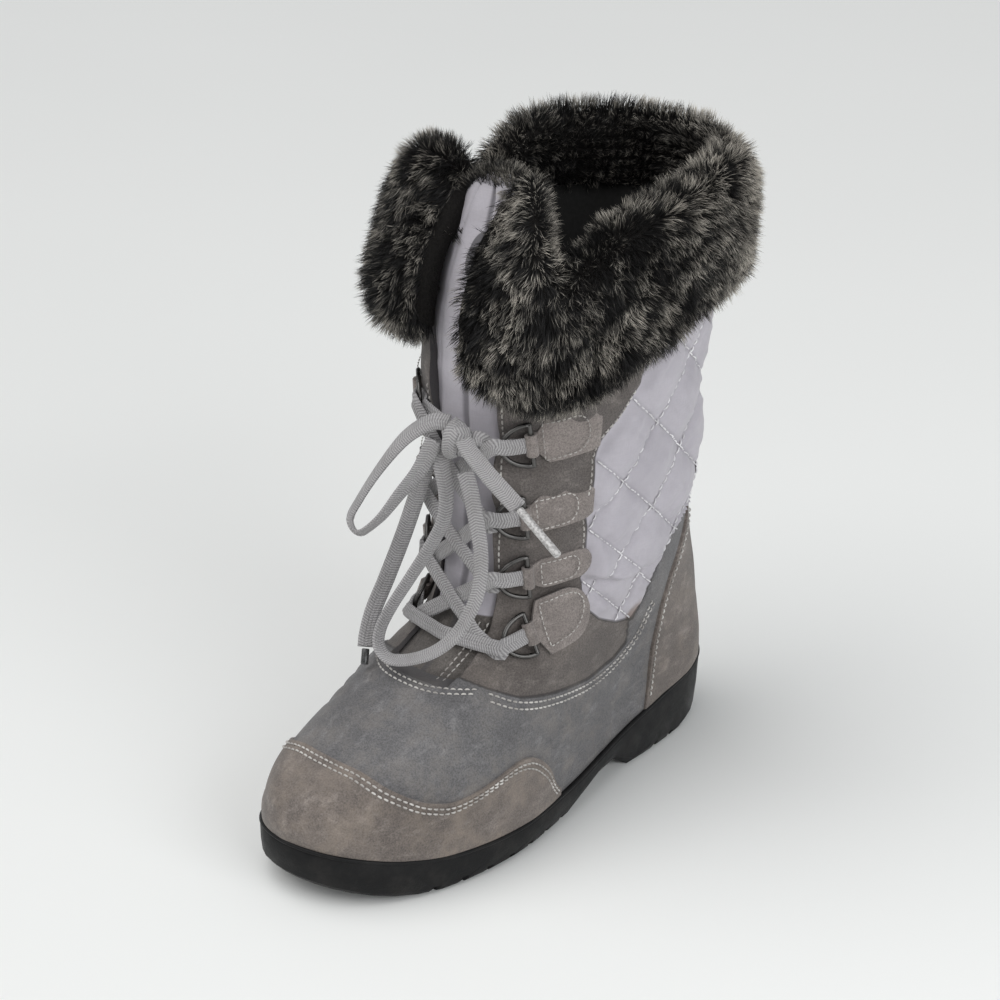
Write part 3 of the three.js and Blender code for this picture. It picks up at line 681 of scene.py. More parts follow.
@dataclass
class ToeCap(Overlay):
    """The toe cap with a wing along each side."""

    name: str = "toe_cap_suede"
    node: str = "toe_cap"
    edge: tuple = (
        (-140, 70), (-112, 62), (-104, 52), (-92, 45), (-78, 41.5), (-60, 44), (-46, 48.5), (-36, 48.5),
        (-26, 43), (-17, 33), (-11, 20), (-9, 12),
    )
    end: float = -9.5

    def build(self) -> Piece:
        """The cap, from one wing's end round the toe to the other's.

        Returns:
            The piece.
        """
        columns, top = self.top()
        share = np.linspace(0, 1, 44)
        height = share[:, None] * np.maximum(top, 0.6)[None, :]
        return self.raised(height, np.broadcast_to(columns, height.shape).copy())

    def top(self) -> tuple:
        """Turns round the toe and the heights of the cap's edge at them.

        Returns:
            The turns and the heights.
        """
        last_turn = float(LAST.turn(np.array([self.end]), np.array([0.0]))[0])
        span = np.linspace(-1, 1, 241)
        columns = np.sign(span) * np.abs(span) ** 1.1 * last_turn
        heights = np.linspace(0, 60, 121)
        top = []
        for turn in columns:
            p = LAST.point(heights, np.full_like(heights, turn))
            over = p[:, 2] > np.interp(p[:, 1], *np.array(self.edge).T)
            top.append(heights[int(np.argmax(over)) if over.any() else -1])
        return columns, np.convolve(np.pad(top, 4, mode="edge"), np.ones(9) / 9, "valid")


@dataclass
class HeelCounter(Overlay):
    """The heel counter, up to the ankle."""

    name: str = "heel_counter_suede"
    node: str = "heel_counter"
    edge: tuple = ((0, 64), (20, 64.5), (40, 66.5), (62, 68.5), (80, 73), (95, 79), (110, 89), (122, 100))
    top: float = 93.0

    def build(self) -> Piece:
        """The counter, from its edge on one side round the heel to the other's.

        Returns:
            The piece.
        """
        heights = np.linspace(0, self.top, 96)
        place = np.interp(heights + SHAFT_LIFT, *np.array(self.edge).T)
        start = LAST.turn(place, heights)
        share = np.linspace(0, 2, 121)
        turn = start[:, None] + (1 - start[:, None]) * share[None, :]
        height = np.broadcast_to(heights[:, None], turn.shape).copy()
        return self.raised(height, turn)


@dataclass
class Sole:
    """The rubber unit sole and the bead round its rim."""

    bead_radius: float = 0.95
    bead_turns: int = 240
    bead_sides: int = 8

    def build(self) -> list:
        """The moulded sole and the bead along its top edge.

        Returns:
            The pieces.
        """
        return [from_node("sole_unit", "outsole", 0.7), self.bead()]

    def wall(self, y_turn: Array, grow: float, drop: float) -> Array:
        """A line round the sole's side wall.

        Args:
            y_turn: turns round the sole, negative on the medial side.
            grow: how far outside the outline.
            drop: share of the way from its top to its bottom.

        Returns:
            The points.
        """
        swing = -np.cos(math.pi * np.abs(y_turn))
        y = TOE + SOLE_LENGTH * (1 + swing) / 2
        side = np.where(y_turn >= 0, 1, -1)
        x = LAST.edge(y, side) + side * grow * np.sin(math.pi * np.abs(y_turn))
        top = LAST.feather(y)
        bottom = LAST.profile.read(LAST.along(y), "bottom")
        return np.stack([x, y + grow * swing, top + (bottom - top) * drop], 1)

    def bead(self) -> Piece:
        """A round bead where the sole's rim meets the upper.

        Returns:
            The piece.
        """
        turns = np.linspace(-1, 1, self.bead_turns, endpoint=False)
        middle = self.wall(turns, -0.6, 0.0)
        ahead = unit(np.roll(middle, -1, 0) - np.roll(middle, 1, 0))
        up = np.array([0, 0, 1.0])
        out = unit(np.cross(ahead, up))
        ring = []
        for k in range(self.bead_sides):
            angle = 2 * math.pi * k / self.bead_sides
            wide, tall = self.bead_radius * math.cos(angle), self.bead_radius * math.sin(angle)
            ring.append(middle + out * wide + up * tall)
        points = np.stack(ring, 0).reshape(-1, 3)
        rows = grid_faces(self.bead_sides, self.bead_turns, True)
        here = np.arange(self.bead_turns)
        after, top = (here + 1) % self.bead_turns, (self.bead_sides - 1) * self.bead_turns
        last = np.stack([top + here, top + after, after, here], 1)
        obj = new_mesh("sole_bead", points, np.vstack([rows, last]))
        outward(obj)
        return obj


@dataclass
class Tongue:
    """The padded tongue behind the throat, suede at its foot, nylon above, with a fur lobe."""

    face: float = -3.9
    thickness: float = 5.4
    low: float = 68.0
    lobe: float = 240.0
    top: float = 296.0
    half: Table = Table(
        ("z", "half"),
        ((68, 19), (84, 23), (120, 30), (240, 27), (262, 26), (280, 22), (292, 13), (296, 6)),
    )

    def grid(self, offset: float, inset: float) -> tuple:
        """Points of one face of the tongue.

        Args:
            offset: outwards from the last.
            inset: how far its edge draws in.

        Returns:
            The points as a grid, the shares across and the heights.
        """
        z = np.r_[np.linspace(self.low, self.lobe, 92)[:-1], np.linspace(self.lobe, self.top, 36)]
        share = np.linspace(-1, 1, 61)
        half = np.maximum(self.half.read(z, "half") - inset, 1.5)
        lean = LAST.sections.read(z - SHAFT_LIFT, "lean")
        turns = np.linspace(-0.45, 0.45, 361)
        rows = []
        for i, h in enumerate(z):
            height = np.full(len(turns), h - SHAFT_LIFT)
            for _ in range(4):
                p = LAST.surface(height, turns, offset)
                height = np.maximum(height + 0.7 * (h - p[:, 2]), 0)
            x = lean[i] + share * half[i]
            rows.append(np.stack([np.interp(x, p[:, 0], p[:, k]) for k in range(3)], 1))
            rows[-1][:, 1] += 20 * smooth(222, 300, h)
        return np.array(rows), share, z

    def build(self) -> Piece:
        """The tongue as one padded piece.

        Returns:
            The piece.
        """
        front, share, z = self.grid(self.face, 0.6)
        back, _, _ = self.grid(self.face - self.thickness, 2.0)
        puff = (1 - np.abs(share) ** 4)[None, :] * 1.3
        pleat = 1.6 * bump(share, 0.0, 0.05)[None, :] * smooth(104, 116, z)[:, None]
        seams = sum(0.9 * bump(share, s, 0.035) for s in (-0.62, 0.62))[None, :]
        wrinkle = value_noise(front.reshape(-1, 3) * [0.6, 0.6, 1.7], 9, 31).reshape(front.shape[:2])
        front[..., 1] -= np.minimum(puff - pleat - seams + 0.7 * wrinkle, 2.2)
        rows, columns = front.shape[:2]
        points = np.vstack([front.reshape(-1, 3), back.reshape(-1, 3)])
        n = rows * columns
        a = grid_faces(rows, columns, False)
        edge = np.r_[np.arange(columns), columns * np.arange(1, rows) + columns - 1,
                     n - 2 - np.arange(columns - 1), columns * np.arange(rows - 2, 0, -1)]
        after = np.roll(edge, -1)
        rim = np.stack([edge, after, after + n, edge + n], 1)
        obj = new_mesh("tongue_padded", points, np.vstack([a, a[:, ::-1] + n, rim[:, ::-1]]))
        outward(obj)
        across = np.broadcast_to(share[None, :], front.shape[:2]).ravel()
        height = np.broadcast_to(z[:, None], front.shape[:2]).ravel()
        paint(obj, "across", np.r_[across, across])
        paint(obj, "height", np.r_[height, height])
        paint(obj, "rear", np.r_[np.zeros(n), np.ones(n)])
        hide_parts("tongue")
        return obj


# ---- fur ----
def blades(name: str, root: Array, bend: Array, tip: Array, across: Array,
           frost: Array) -> Piece:
    """Thin tapered blades of hair as one mesh.

    Args:
        name: the piece's name.
        root: where each starts.
        bend: the middle that each bends by.
        tip: where each ends.
        across: each blade's width as a vector.
        frost: how light each tip is.

    Returns:
        The piece.
    """
    count = len(root)
    points, shares = [], []
    for t, w in ((0.0, 1.0), (0.35, 0.9), (0.7, 0.6)):
        line = (1 - t) ** 2 * root + 2 * t * (1 - t) * bend + t * t * tip
        for s in (-0.5, 0.5):
            points.append(line + across * (w * s))
            shares.append(np.full(count, t))
    points.append(tip)
    shares.append(np.ones(count))
    base = np.arange(count)[:, None] * 7
    order = [(0, 1, 3), (0, 3, 2), (2, 3, 5), (2, 5, 4), (4, 5, 6)]
    faces = np.concatenate([base + np.array(o) for o in order], 0)
    obj = new_mesh(name, np.stack(points, 1).reshape(-1, 3), faces)
    paint(obj, "share", np.stack(shares, 1).ravel())
    paint(obj, "frost", np.repeat(frost, 7))
    return obj


@dataclass
class Cuff:
    """The fur cuff: a dark backing and the hair on it."""

    start: float = 0.012
    end: float = 0.075
    inside: float = 8.0
    pieces: int = 4
    hairs: int = 30000
    lock: float = 4.6
    sizes: Table = Table(
        ("around", "rim", "hem", "thick"),
        (
            (0.0, 264, 184, 12), (0.025, 268, 181, 15), (0.05, 262, 179, 17), (0.075, 247, 176, 20),
            (0.1, 236, 175, 22), (0.135, 241, 178, 22), (0.18, 253, 186, 21), (0.27, 262, 201, 20),
            (0.36, 266, 208, 19), (0.5, 269, 210, 19), (0.6, 269, 210, 19), (0.7, 269, 209, 20),
            (0.73, 262, 208, 21), (0.765, 246, 204, 23), (0.8, 249, 201, 25), (0.86, 265, 197, 27),
            (0.93, 270, 194, 27), (0.97, 269, 194, 23), (1.0, 262, 198, 15),
        ),
    )
    section: tuple = (
        (0, 0.03), (0.45, 0), (0.85, 0.07), (1, 0.3), (1, 0.62), (0.84, 0.86), (0.5, 0.98), (0.1, 1),
    )
    sunk: float = 3.5

    def form(self, around: Array, loop: Array, sink: float) -> Array:
        """Points of the cuff's outer form.

        Args:
            around: shares of the way from the lateral front end to the medial one.
            loop: places round its cross-section, 0 to 1.
            sink: how far the form is drawn in.

        Returns:
            The points.
        """
        way = self.start + (2 - self.start - self.end) * around
        turn = np.where(way <= 1, way, way - 2)
        rim, hem, thick = (self.sizes.read(around, k) for k in ("rim", "hem", "thick"))
        deep, tall, inner = thick - sink, rim - hem - 1.6 * sink, sink - self.inside
        corners = [(out * deep - 1, hem + sink + tall * up) for out, up in self.section]
        corners += [(inner, rim - 6 - sink), (inner + 1, COLLAR + 2), (-1.0, COLLAR + 2)]
        offsets, heights = (
            np.stack([np.broadcast_to(corner[k], rim.shape) for corner in corners], -1) for k in (0, 1)
        )
        count = len(corners)
        at = loop * count
        i = np.floor(at).astype(int) % count
        t = at - np.floor(at)
        picked = []
        for values in (offsets, heights):
            stops = (np.take_along_axis(values, ((i + k) % count)[:, None], 1) for k in (-1, 0, 1, 2))
            picked.append(curve(*(stop[:, 0] for stop in stops), t))
        near = bump(around, 0.0, 0.085) + bump(around, 1.0, 0.12)
        offset = np.where(picked[0] < 0, picked[0] * (1 - 0.9 * np.minimum(near, 1)), picked[0])
        p = LAST.surface(picked[1], turn, offset)
        p[..., 1] += near * 30 * smooth(205, 275, picked[1])
        p[..., 2] += 1.5 * value_noise(p, 30, 45)
        return p + unit(p * [1, 1, 0] - [0, 45, 0]) * (2.2 * value_noise(p, 19, 46))[..., None]

    def backing(self) -> Piece:
        """The dark pile's body under the hair.

        Returns:
            The piece.
        """
        rows, columns = 150, 60
        loops = np.linspace(0, 1, columns, endpoint=False)
        around, loop = np.meshgrid(np.linspace(0, 1, rows), loops, indexing="ij")
        points = self.form(around.ravel(), loop.ravel(), self.sunk)
        obj = new_mesh("fur_backing", points, grid_faces(rows, columns, True))
        outward(obj, fill=True)
        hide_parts("fur_cuff")
        return obj

    def roots(self, count: int, rng: np.random.Generator) -> tuple:
        """Even random places for hairs on the cuff.

        Args:
            count: how many.
            rng: the random numbers.

        Returns:
            Shares around, places round the section, points and normals.
        """
        around, loop = rng.uniform(0, 1, count * 3), rng.uniform(0.02, 0.9, count * 3)
        step, sink = 0.004, self.sunk
        p = self.form(around, loop, sink)
        low, high = np.maximum(around - step, 0), np.minimum(around + step, 1)
        ahead = self.form(high, loop, sink) - self.form(low, loop, sink)
        along = self.form(around, loop + step, sink) - self.form(around, loop - step, sink)
        area = np.linalg.norm(np.cross(ahead, along), axis=1)
        keep = rng.uniform(0, np.percentile(area, 96), len(area)) < area
        pick = np.flatnonzero(keep)[:count]
        return around[pick], loop[pick], p[pick], unit(np.cross(ahead[pick], along[pick]))

    def hair(self, number: int) -> Piece:
        """One share of the cuff's hair, as thin tapered blades in locks.

        Args:
            number: which share.

        Returns:
            The piece.
        """
        rng = np.random.default_rng(100 + number)
        count = self.hairs
        around, loop, root, normal = self.roots(count, rng)
        count = len(root)
        up = np.array([0, 0, 1.0])
        section = loop * (len(self.section) + 3)
        fall = np.where(section < 5.4, -1.0, np.where(section < 7.2, (section - 5.4) / 0.9 - 1, 0.4))
        ends = bump(around, 0.0, 0.045) - bump(around, 1.0, 0.045)
        lay = unit(
            normal * 0.75 + up * fall[:, None] * 0.62
            + np.array([0, -1.0, 0]) * np.abs(ends)[:, None] * 0.7
        )
        lay = unit(lay + 0.5 * drift(root, 17, 41) + 0.16 * rng.normal(size=(count, 3)))
        lay = unit(lay - normal * np.minimum((lay * normal).sum(1) - 0.2, 0)[:, None])
        cell = np.floor(root / self.lock + 0.5) * self.lock
        lock = cell + drift(cell, 3.1, 51) * 2.6
        length = rng.uniform(5.5, 9.5, count) * np.where(section > 7.4, 0.7, 1.0)
        tip = root + lay * length[:, None]
        goal = lock + lay * (length[:, None] * 0.95)
        pull = np.clip(0.66 + 0.2 * value_noise(root, 21, 61), 0, 0.85)[:, None]
        tip = tip + (goal - tip) * pull
        bend = root + lay * (length * 0.5)[:, None] + normal * (length * 0.13)[:, None]
        width = rng.uniform(0.18, 0.36, count) * 1.0
        across = unit(np.cross(lay, rng.normal(size=(count, 3))))
        rim = bump(section, 6.4, 1.5)
        x, y, z = root.T
        streak = value_noise(np.stack([x * 0.5, y - z, y * 0.35], 1), 7, 71)
        fine = np.stack([x, y - z, y * 0.4 + z * 0.4], 1)
        frost = 0.05 + 0.7 * streak + 0.9 * value_noise(fine, 3.4, 73) + 0.25 * rim
        # Painted light: tips are made lighter on the back-lateral side, the side that faces the light.
        frost += 0.45 * smooth(15, 110, y) * smooth(-40, 0, x) + 0.1 * smooth(-10, 20, x)
        # Painted shade: tips inside the cuff's opening are made darker.
        frost = frost * np.where(section > 7.6, 0.25, 1.0)
        frost = np.clip(frost + rng.normal(0, 0.2, count), 0, 1)
        return blades(f"fur_hair_{number}", root, bend, tip, across * width[:, None], frost)


# ---- rings, chapes and lace ----
@dataclass(frozen=True)
class Ring:
    """One lace ring and its chape: its side, number, the bar's place and the way it leans."""

    side: Side
    number: int
    y: float
    z: float
    tilt: float
    back: float
    half: float

    off = 3.3
    wire = 1.1
    reach = 13.0
    half_bar = 9.5

    @property
    def label(self) -> str:
        """The ring's name, by side and number."""
        return f"{self.side.name.lower()}_{self.number}"

    def axes(self) -> Array:
        """Rows: the way forward along the upper, the way up, the way out, and the origin."""
        sign = self.side.value
        height, turn = LAST.place(np.array([self.y]), np.array([self.z]), self.side)
        out = LAST.normal(height, turn)[0]
        step = 0.02 * sign
        ahead = (LAST.point(height, turn - step) - LAST.point(height, turn + step))[0]
        ahead = unit(ahead - out * ahead.dot(out))
        tilt = Matrix.Rotation(sign * math.radians(self.tilt), 3, Vector(out))
        ahead = np.array(tilt @ Vector(ahead))
        up = np.cross(out, ahead) * sign
        return np.array([ahead, up, out, LAST.surface(height, turn, self.off)[0]])

    def at(self, x: float, y: float, z: float) -> Array:
        """A point given in the ring's axes."""
        a = self.axes()
        return a[3] + a[0] * x + a[1] * y + a[2] * z

    def build(self) -> Piece:
        """The D-shaped wire, bent from a round ring.

        Returns:
            The piece.
        """
        bpy.ops.object.select_all(action="DESELECT")
        bpy.ops.mesh.primitive_torus_add(
            major_radius=1.0, minor_radius=0.1, major_segments=48, minor_segments=12
        )
        obj = bpy.context.object
        obj.name = f"ring_{self.label}"
        a = self.axes()
        for v in obj.data.vertices:
            turn = math.atan2(v.co.y, v.co.x)
            round_ = np.array([math.cos(turn), math.sin(turn)])
            middle, way = np.array([self.reach, self.half_bar]) * round_, unit(round_)
            if round_[0] < 0:
                middle = np.array([0.0, self.half_bar * max(-1, min(1, round_[1] * 1.05))])
                way = unit(np.array([-1.0, round_[1] * 0.2]))
            far = math.hypot(v.co.x, v.co.y) - 1.0
            p = middle + way * far * 10 * self.wire
            place = a[3] + a[0] * p[0] + a[1] * p[1] + a[2] * (v.co.z * 10 * self.wire)
            v.co = Vector(to_frame(place))
        outward(obj)
        bpy.ops.object.shade_smooth()
        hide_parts(f"d_ring_{self.label}")
        return obj


RINGS = (
    Ring(Side.LATERAL, 1, -19, 98, 14, 33, 13), Ring(Side.LATERAL, 2, -17, 125, 6, 31, 7),
    Ring(Side.LATERAL, 3, -19, 154, 8, 33, 8.5), Ring(Side.LATERAL, 4, -18, 188, 8, 36, 10),
    Ring(Side.MEDIAL, 1, -19, 98, 14, 33, 13), Ring(Side.MEDIAL, 2, -17, 127, 6, 31, 8),
    Ring(Side.MEDIAL, 3, -18, 160, 8, 33, 10), Ring(Side.MEDIAL, 4, -17, 196, 8, 36, 10),
)


@dataclass(frozen=True)
class Braid:
    """The flat braided lace."""

    width: float = 7.5
    thickness: float = 1.7

    def strip(self, name: str, points: Array, faces: Array, narrow: float = 1.0) -> Piece:
        """A flat lace along points.

        Args:
            name: the piece's name.
            points: its middle line.
            faces: the way that its flat face looks at each point.
            narrow: share of the full width.

        Returns:
            The piece.
        """
        ahead = unit(np.gradient(points, axis=0))
        across = unit(np.cross(faces, ahead))
        out = np.cross(ahead, across)
        half, thin = self.width / 2 * narrow, self.thickness / 2
        shape = [(-1, 0), (-0.92, 0.62), (-0.6, 0.95), (-0.2, 0.82), (0.2, 0.82), (0.6, 0.95), (0.92, 0.62),
                 (1, 0),
                 (0.92, -0.62), (0.6, -0.95), (0.2, -0.82), (-0.2, -0.82), (-0.6, -0.95), (-0.92, -0.62)]
        ring = [points + across * (u * half) + out * (v * thin) for u, v in shape]
        count, sides = len(points), len(shape)
        obj = new_mesh(name, np.stack(ring, 1).reshape(-1, 3), grid_faces(count, sides, True)[:, ::-1])
        outward(obj, fill=True)
        length = np.r_[0, np.cumsum(np.linalg.norm(np.diff(points, axis=0), axis=1))]
        paint(obj, "along", np.repeat(length, sides))
        paint(obj, "across", np.tile([u for u, _ in shape], count))
        return obj


@dataclass
class Lacing:
    """The lace: crossings through the rings, the knot, two loops and two ends with aglets."""

    braid: Braid = field(default_factory=Braid)
    lift: float = 2.6
    knot_at: tuple = (3, -38, 188)
    routes: dict = field(
        default_factory=lambda: {
            "lace_loop_1": (
                (-1, -39, 195), (-9, -42, 194), (-20, -46, 185), (-31, -50, 169), (-40, -54, 152),
                (-43, -57, 142), (-35, -59, 139), (-25, -57, 148), (-17, -53, 161), (-9, -49, 174),
                (-4, -46, 188),
            ),
            "lace_loop_2": (
                (-4, -41, 181), (-3, -42, 176), (1, -43, 165), (2, -45, 153), (-3, -48, 139),
                (-10, -53, 123), (-16, -58, 109), (-18, -63, 99), (-16, -66, 92), (-9, -67, 89),
                (2, -66, 92), (15, -64, 100), (24, -61, 110), (29, -57, 122), (30, -53, 133),
                (27, -49, 146), (21, -46, 159), (15, -43, 169), (10, -41, 176),
            ),
            "lace_end_1": ((11, -44, 192), (18, -47, 189), (32, -52, 185), (44, -55, 181), (53, -57, 178)),
            "lace_end_2": (
                (-9, -38, 184), (-13, -39, 176), (-18, -41, 156), (-23, -44, 136), (-27, -50, 116),
                (-29, -56, 102), (-27, -62, 93), (-25, -65, 88),
            ),
        }
    )
    aglets: dict = field(
        default_factory=lambda: {
            "aglet_1": ((54, -57.3, 177.5), (78, -61, 166)),
            "aglet_2": ((-24.8, -65.3, 87.3), (-23, -68, 81)),
        }
    )

    def crossing(self, name: str, start: Ring, end: Ring, start_over: bool, layer: float) -> Piece:
        """One lace between two rings, through both, over the tongue.

        Args:
            name: the piece's name.
            start: the ring that it comes from.
            end: the ring that it goes to.
            start_over: over the first ring's arc or under it.
            layer: how far it stands further off where laces cross.

        Returns:
            The piece.
        """
        rise = float(np.sign(end.z - start.z))
        clear = start.wire + 0.25 + self.braid.thickness / 2
        first = [start.at(x, y * rise, z) for x, y, z in self.past(clear if start_over else -clear)]
        final = [end.at(x, -y * rise, z) for x, y, z in self.past(clear)][::-1]
        middle = []
        for share in (0.2, 0.35, 0.5, 0.65, 0.8):
            p = first[-1] * (1 - share) + final[0] * share
            height = LAST.height(np.array([-29.0]), p[2:3])
            front = float(LAST.sections.read(height, "front")[0])
            p[1] = min(p[1], front - self.lift + abs(share - 0.5) * 9) - layer * math.sin(math.pi * share)
            middle.append(p)
        points = spline([*first, *middle, *final], 64)
        share = np.linspace(0, 1, 64)[:, None]
        ahead = np.array([0, -1.0, 0.2])
        faces = unit(
            start.axes()[2] * np.clip(1 - 3 * share, 0, 1)
            + ahead * (1 - np.abs(2 * share - 1)) * 1.6
            + end.axes()[2] * np.clip(3 * share - 2, 0, 1)
        )
        return self.braid.strip(name, points, faces, 0.95)

    @staticmethod
    def past(off: float) -> tuple:
        """Stops from inside a ring past its arc, in the ring's axes."""
        first = (-0.5 if off > 0 else 1.5, 0, -off * 0.15)
        return first, (4, 0.3, off * 0.2), (9.5, 1, off), (13.5, 1.8, off * 1.05), (16.5, 2.5, off)

    def crossings(self) -> list:
        """All laces between the rings.

        Returns:
            The pieces.
        """
        ring = {(r.side, r.number): r for r in RINGS}
        made = [self.crossing("lace_bar", ring[Side.LATERAL, 1], ring[Side.MEDIAL, 1], True, 0.6)]
        for number in (1, 2, 3):
            for side, other in ((Side.LATERAL, Side.MEDIAL), (Side.MEDIAL, Side.LATERAL)):
                layer = 2.4 if side is Side.LATERAL else 0.4
                name = f"lace_cross_{side.name.lower()}_{number}"
                made.append(self.crossing(name, ring[side, number], ring[other, number + 1], False, layer))
        for side in Side:
            made.append(self.to_knot(ring[side, 4]))
        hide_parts("lace_crossings")
        return made

    def to_knot(self, ring: Ring) -> Piece:
        """The lace from a top ring to the knot.

        Args:
            ring: the top ring.

        Returns:
            The piece.
        """
        clear = ring.wire + 0.25 + self.braid.thickness / 2
        near = [ring.at(x, 0, z) for x, y, z in self.past(-clear)]
        knot = np.array(self.knot_at, float)
        side = ring.side.value
        ends = [knot + [side * 9, 4, 2], knot + [side * 3, 1, 1]]
        points = spline([*near, *ends], 36)
        share = np.linspace(0, 1, 36)[:, None]
        faces = unit(ring.axes()[2] * (1 - share) + np.array([0.2, -1.0, 0.5]) * share)
        return self.braid.strip(f"lace_top_{ring.side.name.lower()}", points, faces, 0.85)

    def knot(self) -> Piece:
        """The knot: short bights of lace over each other, joined as one.

        Returns:
            The piece.
        """
        k = np.array(self.knot_at, float)
        bights = (
            ([(-6, 2, -4), (-5, -3, -1), (-1, -5, 3), (4, -4, 5), (6, 1, 4)], (-0.2, -1, 0.3), 0.9),
            ([(6, 2, -4), (5, -2.5, -3), (1, -4.5, 0), (-4, -3, 4), (-6, 2, 6)], (0.3, -1, 0.2), 0.8),
            ([(-1, 2, -8), (-0.5, -5, -6), (0.5, -7, 0), (0.5, -5, 6), (0, 2, 8)], (0.2, -1, 0), 0.95),
        )
        made = []
        for i, (stops, face, narrow) in enumerate(bights):
            points = spline([k + np.array(s) * 0.95 for s in stops], 26)
            faces = np.repeat(unit(np.array([face])), 26, 0)
            made.append(self.braid.strip(f"knot_bight_{i}", points, faces, narrow))
        bpy.ops.object.select_all(action="DESELECT")
        for obj in made:
            obj.select_set(True)
        bpy.context.view_layer.objects.active = made[0]
        bpy.ops.object.join()
        made[0].name = "knot_bights"
        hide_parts("lace_knot")
        return made[0]

    def free(self, name: str) -> Piece:
        """A loop or an end along its route, turned slowly as a flat lace is.

        Args:
            name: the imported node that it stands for.

        Returns:
            The piece.
        """
        counts = {"lace_loop_1": 110, "lace_loop_2": 170, "lace_end_1": 50, "lace_end_2": 90}
        points = spline(list(self.routes[name]), counts[name])
        share = np.linspace(0, 1, counts[name])[:, None]
        toward = np.array([[0.62, -0.7, 0.36]])
        around, swell = unit(np.cross(np.gradient(points, axis=0), toward)), np.sin(math.pi * share)
        if name == "lace_loop_1":
            faces = unit(toward * (0.9 - 0.5 * swell) + around * 0.9 * swell)
        elif name == "lace_loop_2":
            faces = unit(toward * 0.75 - around * 0.85 * swell**0.6)
        else:
            faces = unit(np.repeat(toward, counts[name], 0) + [[0.1, 0, 0.3]] * (1 - share))
        obj = self.braid.strip(f"{name}_braid", points, faces)
        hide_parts(name)
        return obj

    def aglet(self, name: str) -> Piece:
        """The clear tip round a lace's end.

        Args:
            name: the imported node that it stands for.

        Returns:
            The piece.
        """
        start, end = (np.array(p, float) for p in self.aglets[name])
        middle = to_frame((start + end) / 2)
        way = Vector(end - start)
        bpy.ops.object.select_all(action="DESELECT")
        bpy.ops.mesh.primitive_cylinder_add(
            vertices=20, radius=1.75 * MM, depth=way.length * MM, location=middle,
            rotation=way.to_track_quat("Z", "Y").to_euler(),
        )
        obj = bpy.context.object
        obj.name = f"{name}_tip"
        bpy.ops.object.transform_apply(location=True, rotation=True, scale=True)
        bevelled(obj, 0.5, 51.6, 3)
        shaded(obj, 40)
        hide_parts(name)
        return obj

    def declare(self, made: dict, knot: Piece, tips: dict) -> None:
        """Takes the free cords, the knot and the tips, and does nothing with them.

        Args:
            made: loops and ends by name; not used.
            knot: the knot; not used.
            tips: aglets by the end that they close; not used.
        """


# ---- stitching ----
@dataclass(frozen=True)
class Stitch:
    """Thread: the length of one stitch, the pitch of a row, the thread's radius."""

    length: float = 2.2
    pitch: float = 3.0
    radius: float = 0.42
    sink: float = 0.08

    def row(self, points: Array, normals: Array) -> tuple:
        """Points and faces of one row of stitches.

        Args:
            points: the seam's line on the face.
            normals: the face's normals along it.

        Returns:
            Points and faces.
        """
        total = np.linalg.norm(np.diff(points, axis=0), axis=1).sum()
        count = max(int(total / self.pitch), 1)
        fine = respaced(np.hstack([points, normals]), count * 6 + 1)
        middle = fine[3::6][:count]
        ahead = unit(fine[4::6][:count, :3] - fine[2::6][:count, :3])
        out = unit(middle[:, 3:])
        across = np.cross(ahead, out)
        rings, sides = ((-1, 0.45), (-0.72, 0.95), (0, 1.1), (0.72, 0.95), (1, 0.45)), 6
        parts = []
        for u, r in rings:
            rise = (1 - u * u) * self.radius * 0.9 - self.sink - abs(u) * 0.12
            centre = middle[:, :3] + ahead * (u * self.length / 2) + out * rise
            for k in range(sides):
                angle = 2 * math.pi * k / sides
                parts.append(
                    centre + across * (self.radius * r * math.cos(angle))
                    + out * (self.radius * r * math.sin(angle))
                )
        points = np.stack(parts, 1).reshape(-1, 3)
        one = grid_faces(len(rings), sides, True)
        caps = [(0, 1, 2, 3), (0, 3, 4, 5), (24, 27, 26, 25), (24, 29, 28, 27)]
        one = np.vstack([one, caps])
        faces = (np.arange(count)[:, None, None] * sides * len(rings) + one[None]).reshape(-1, 4)
        return points, faces


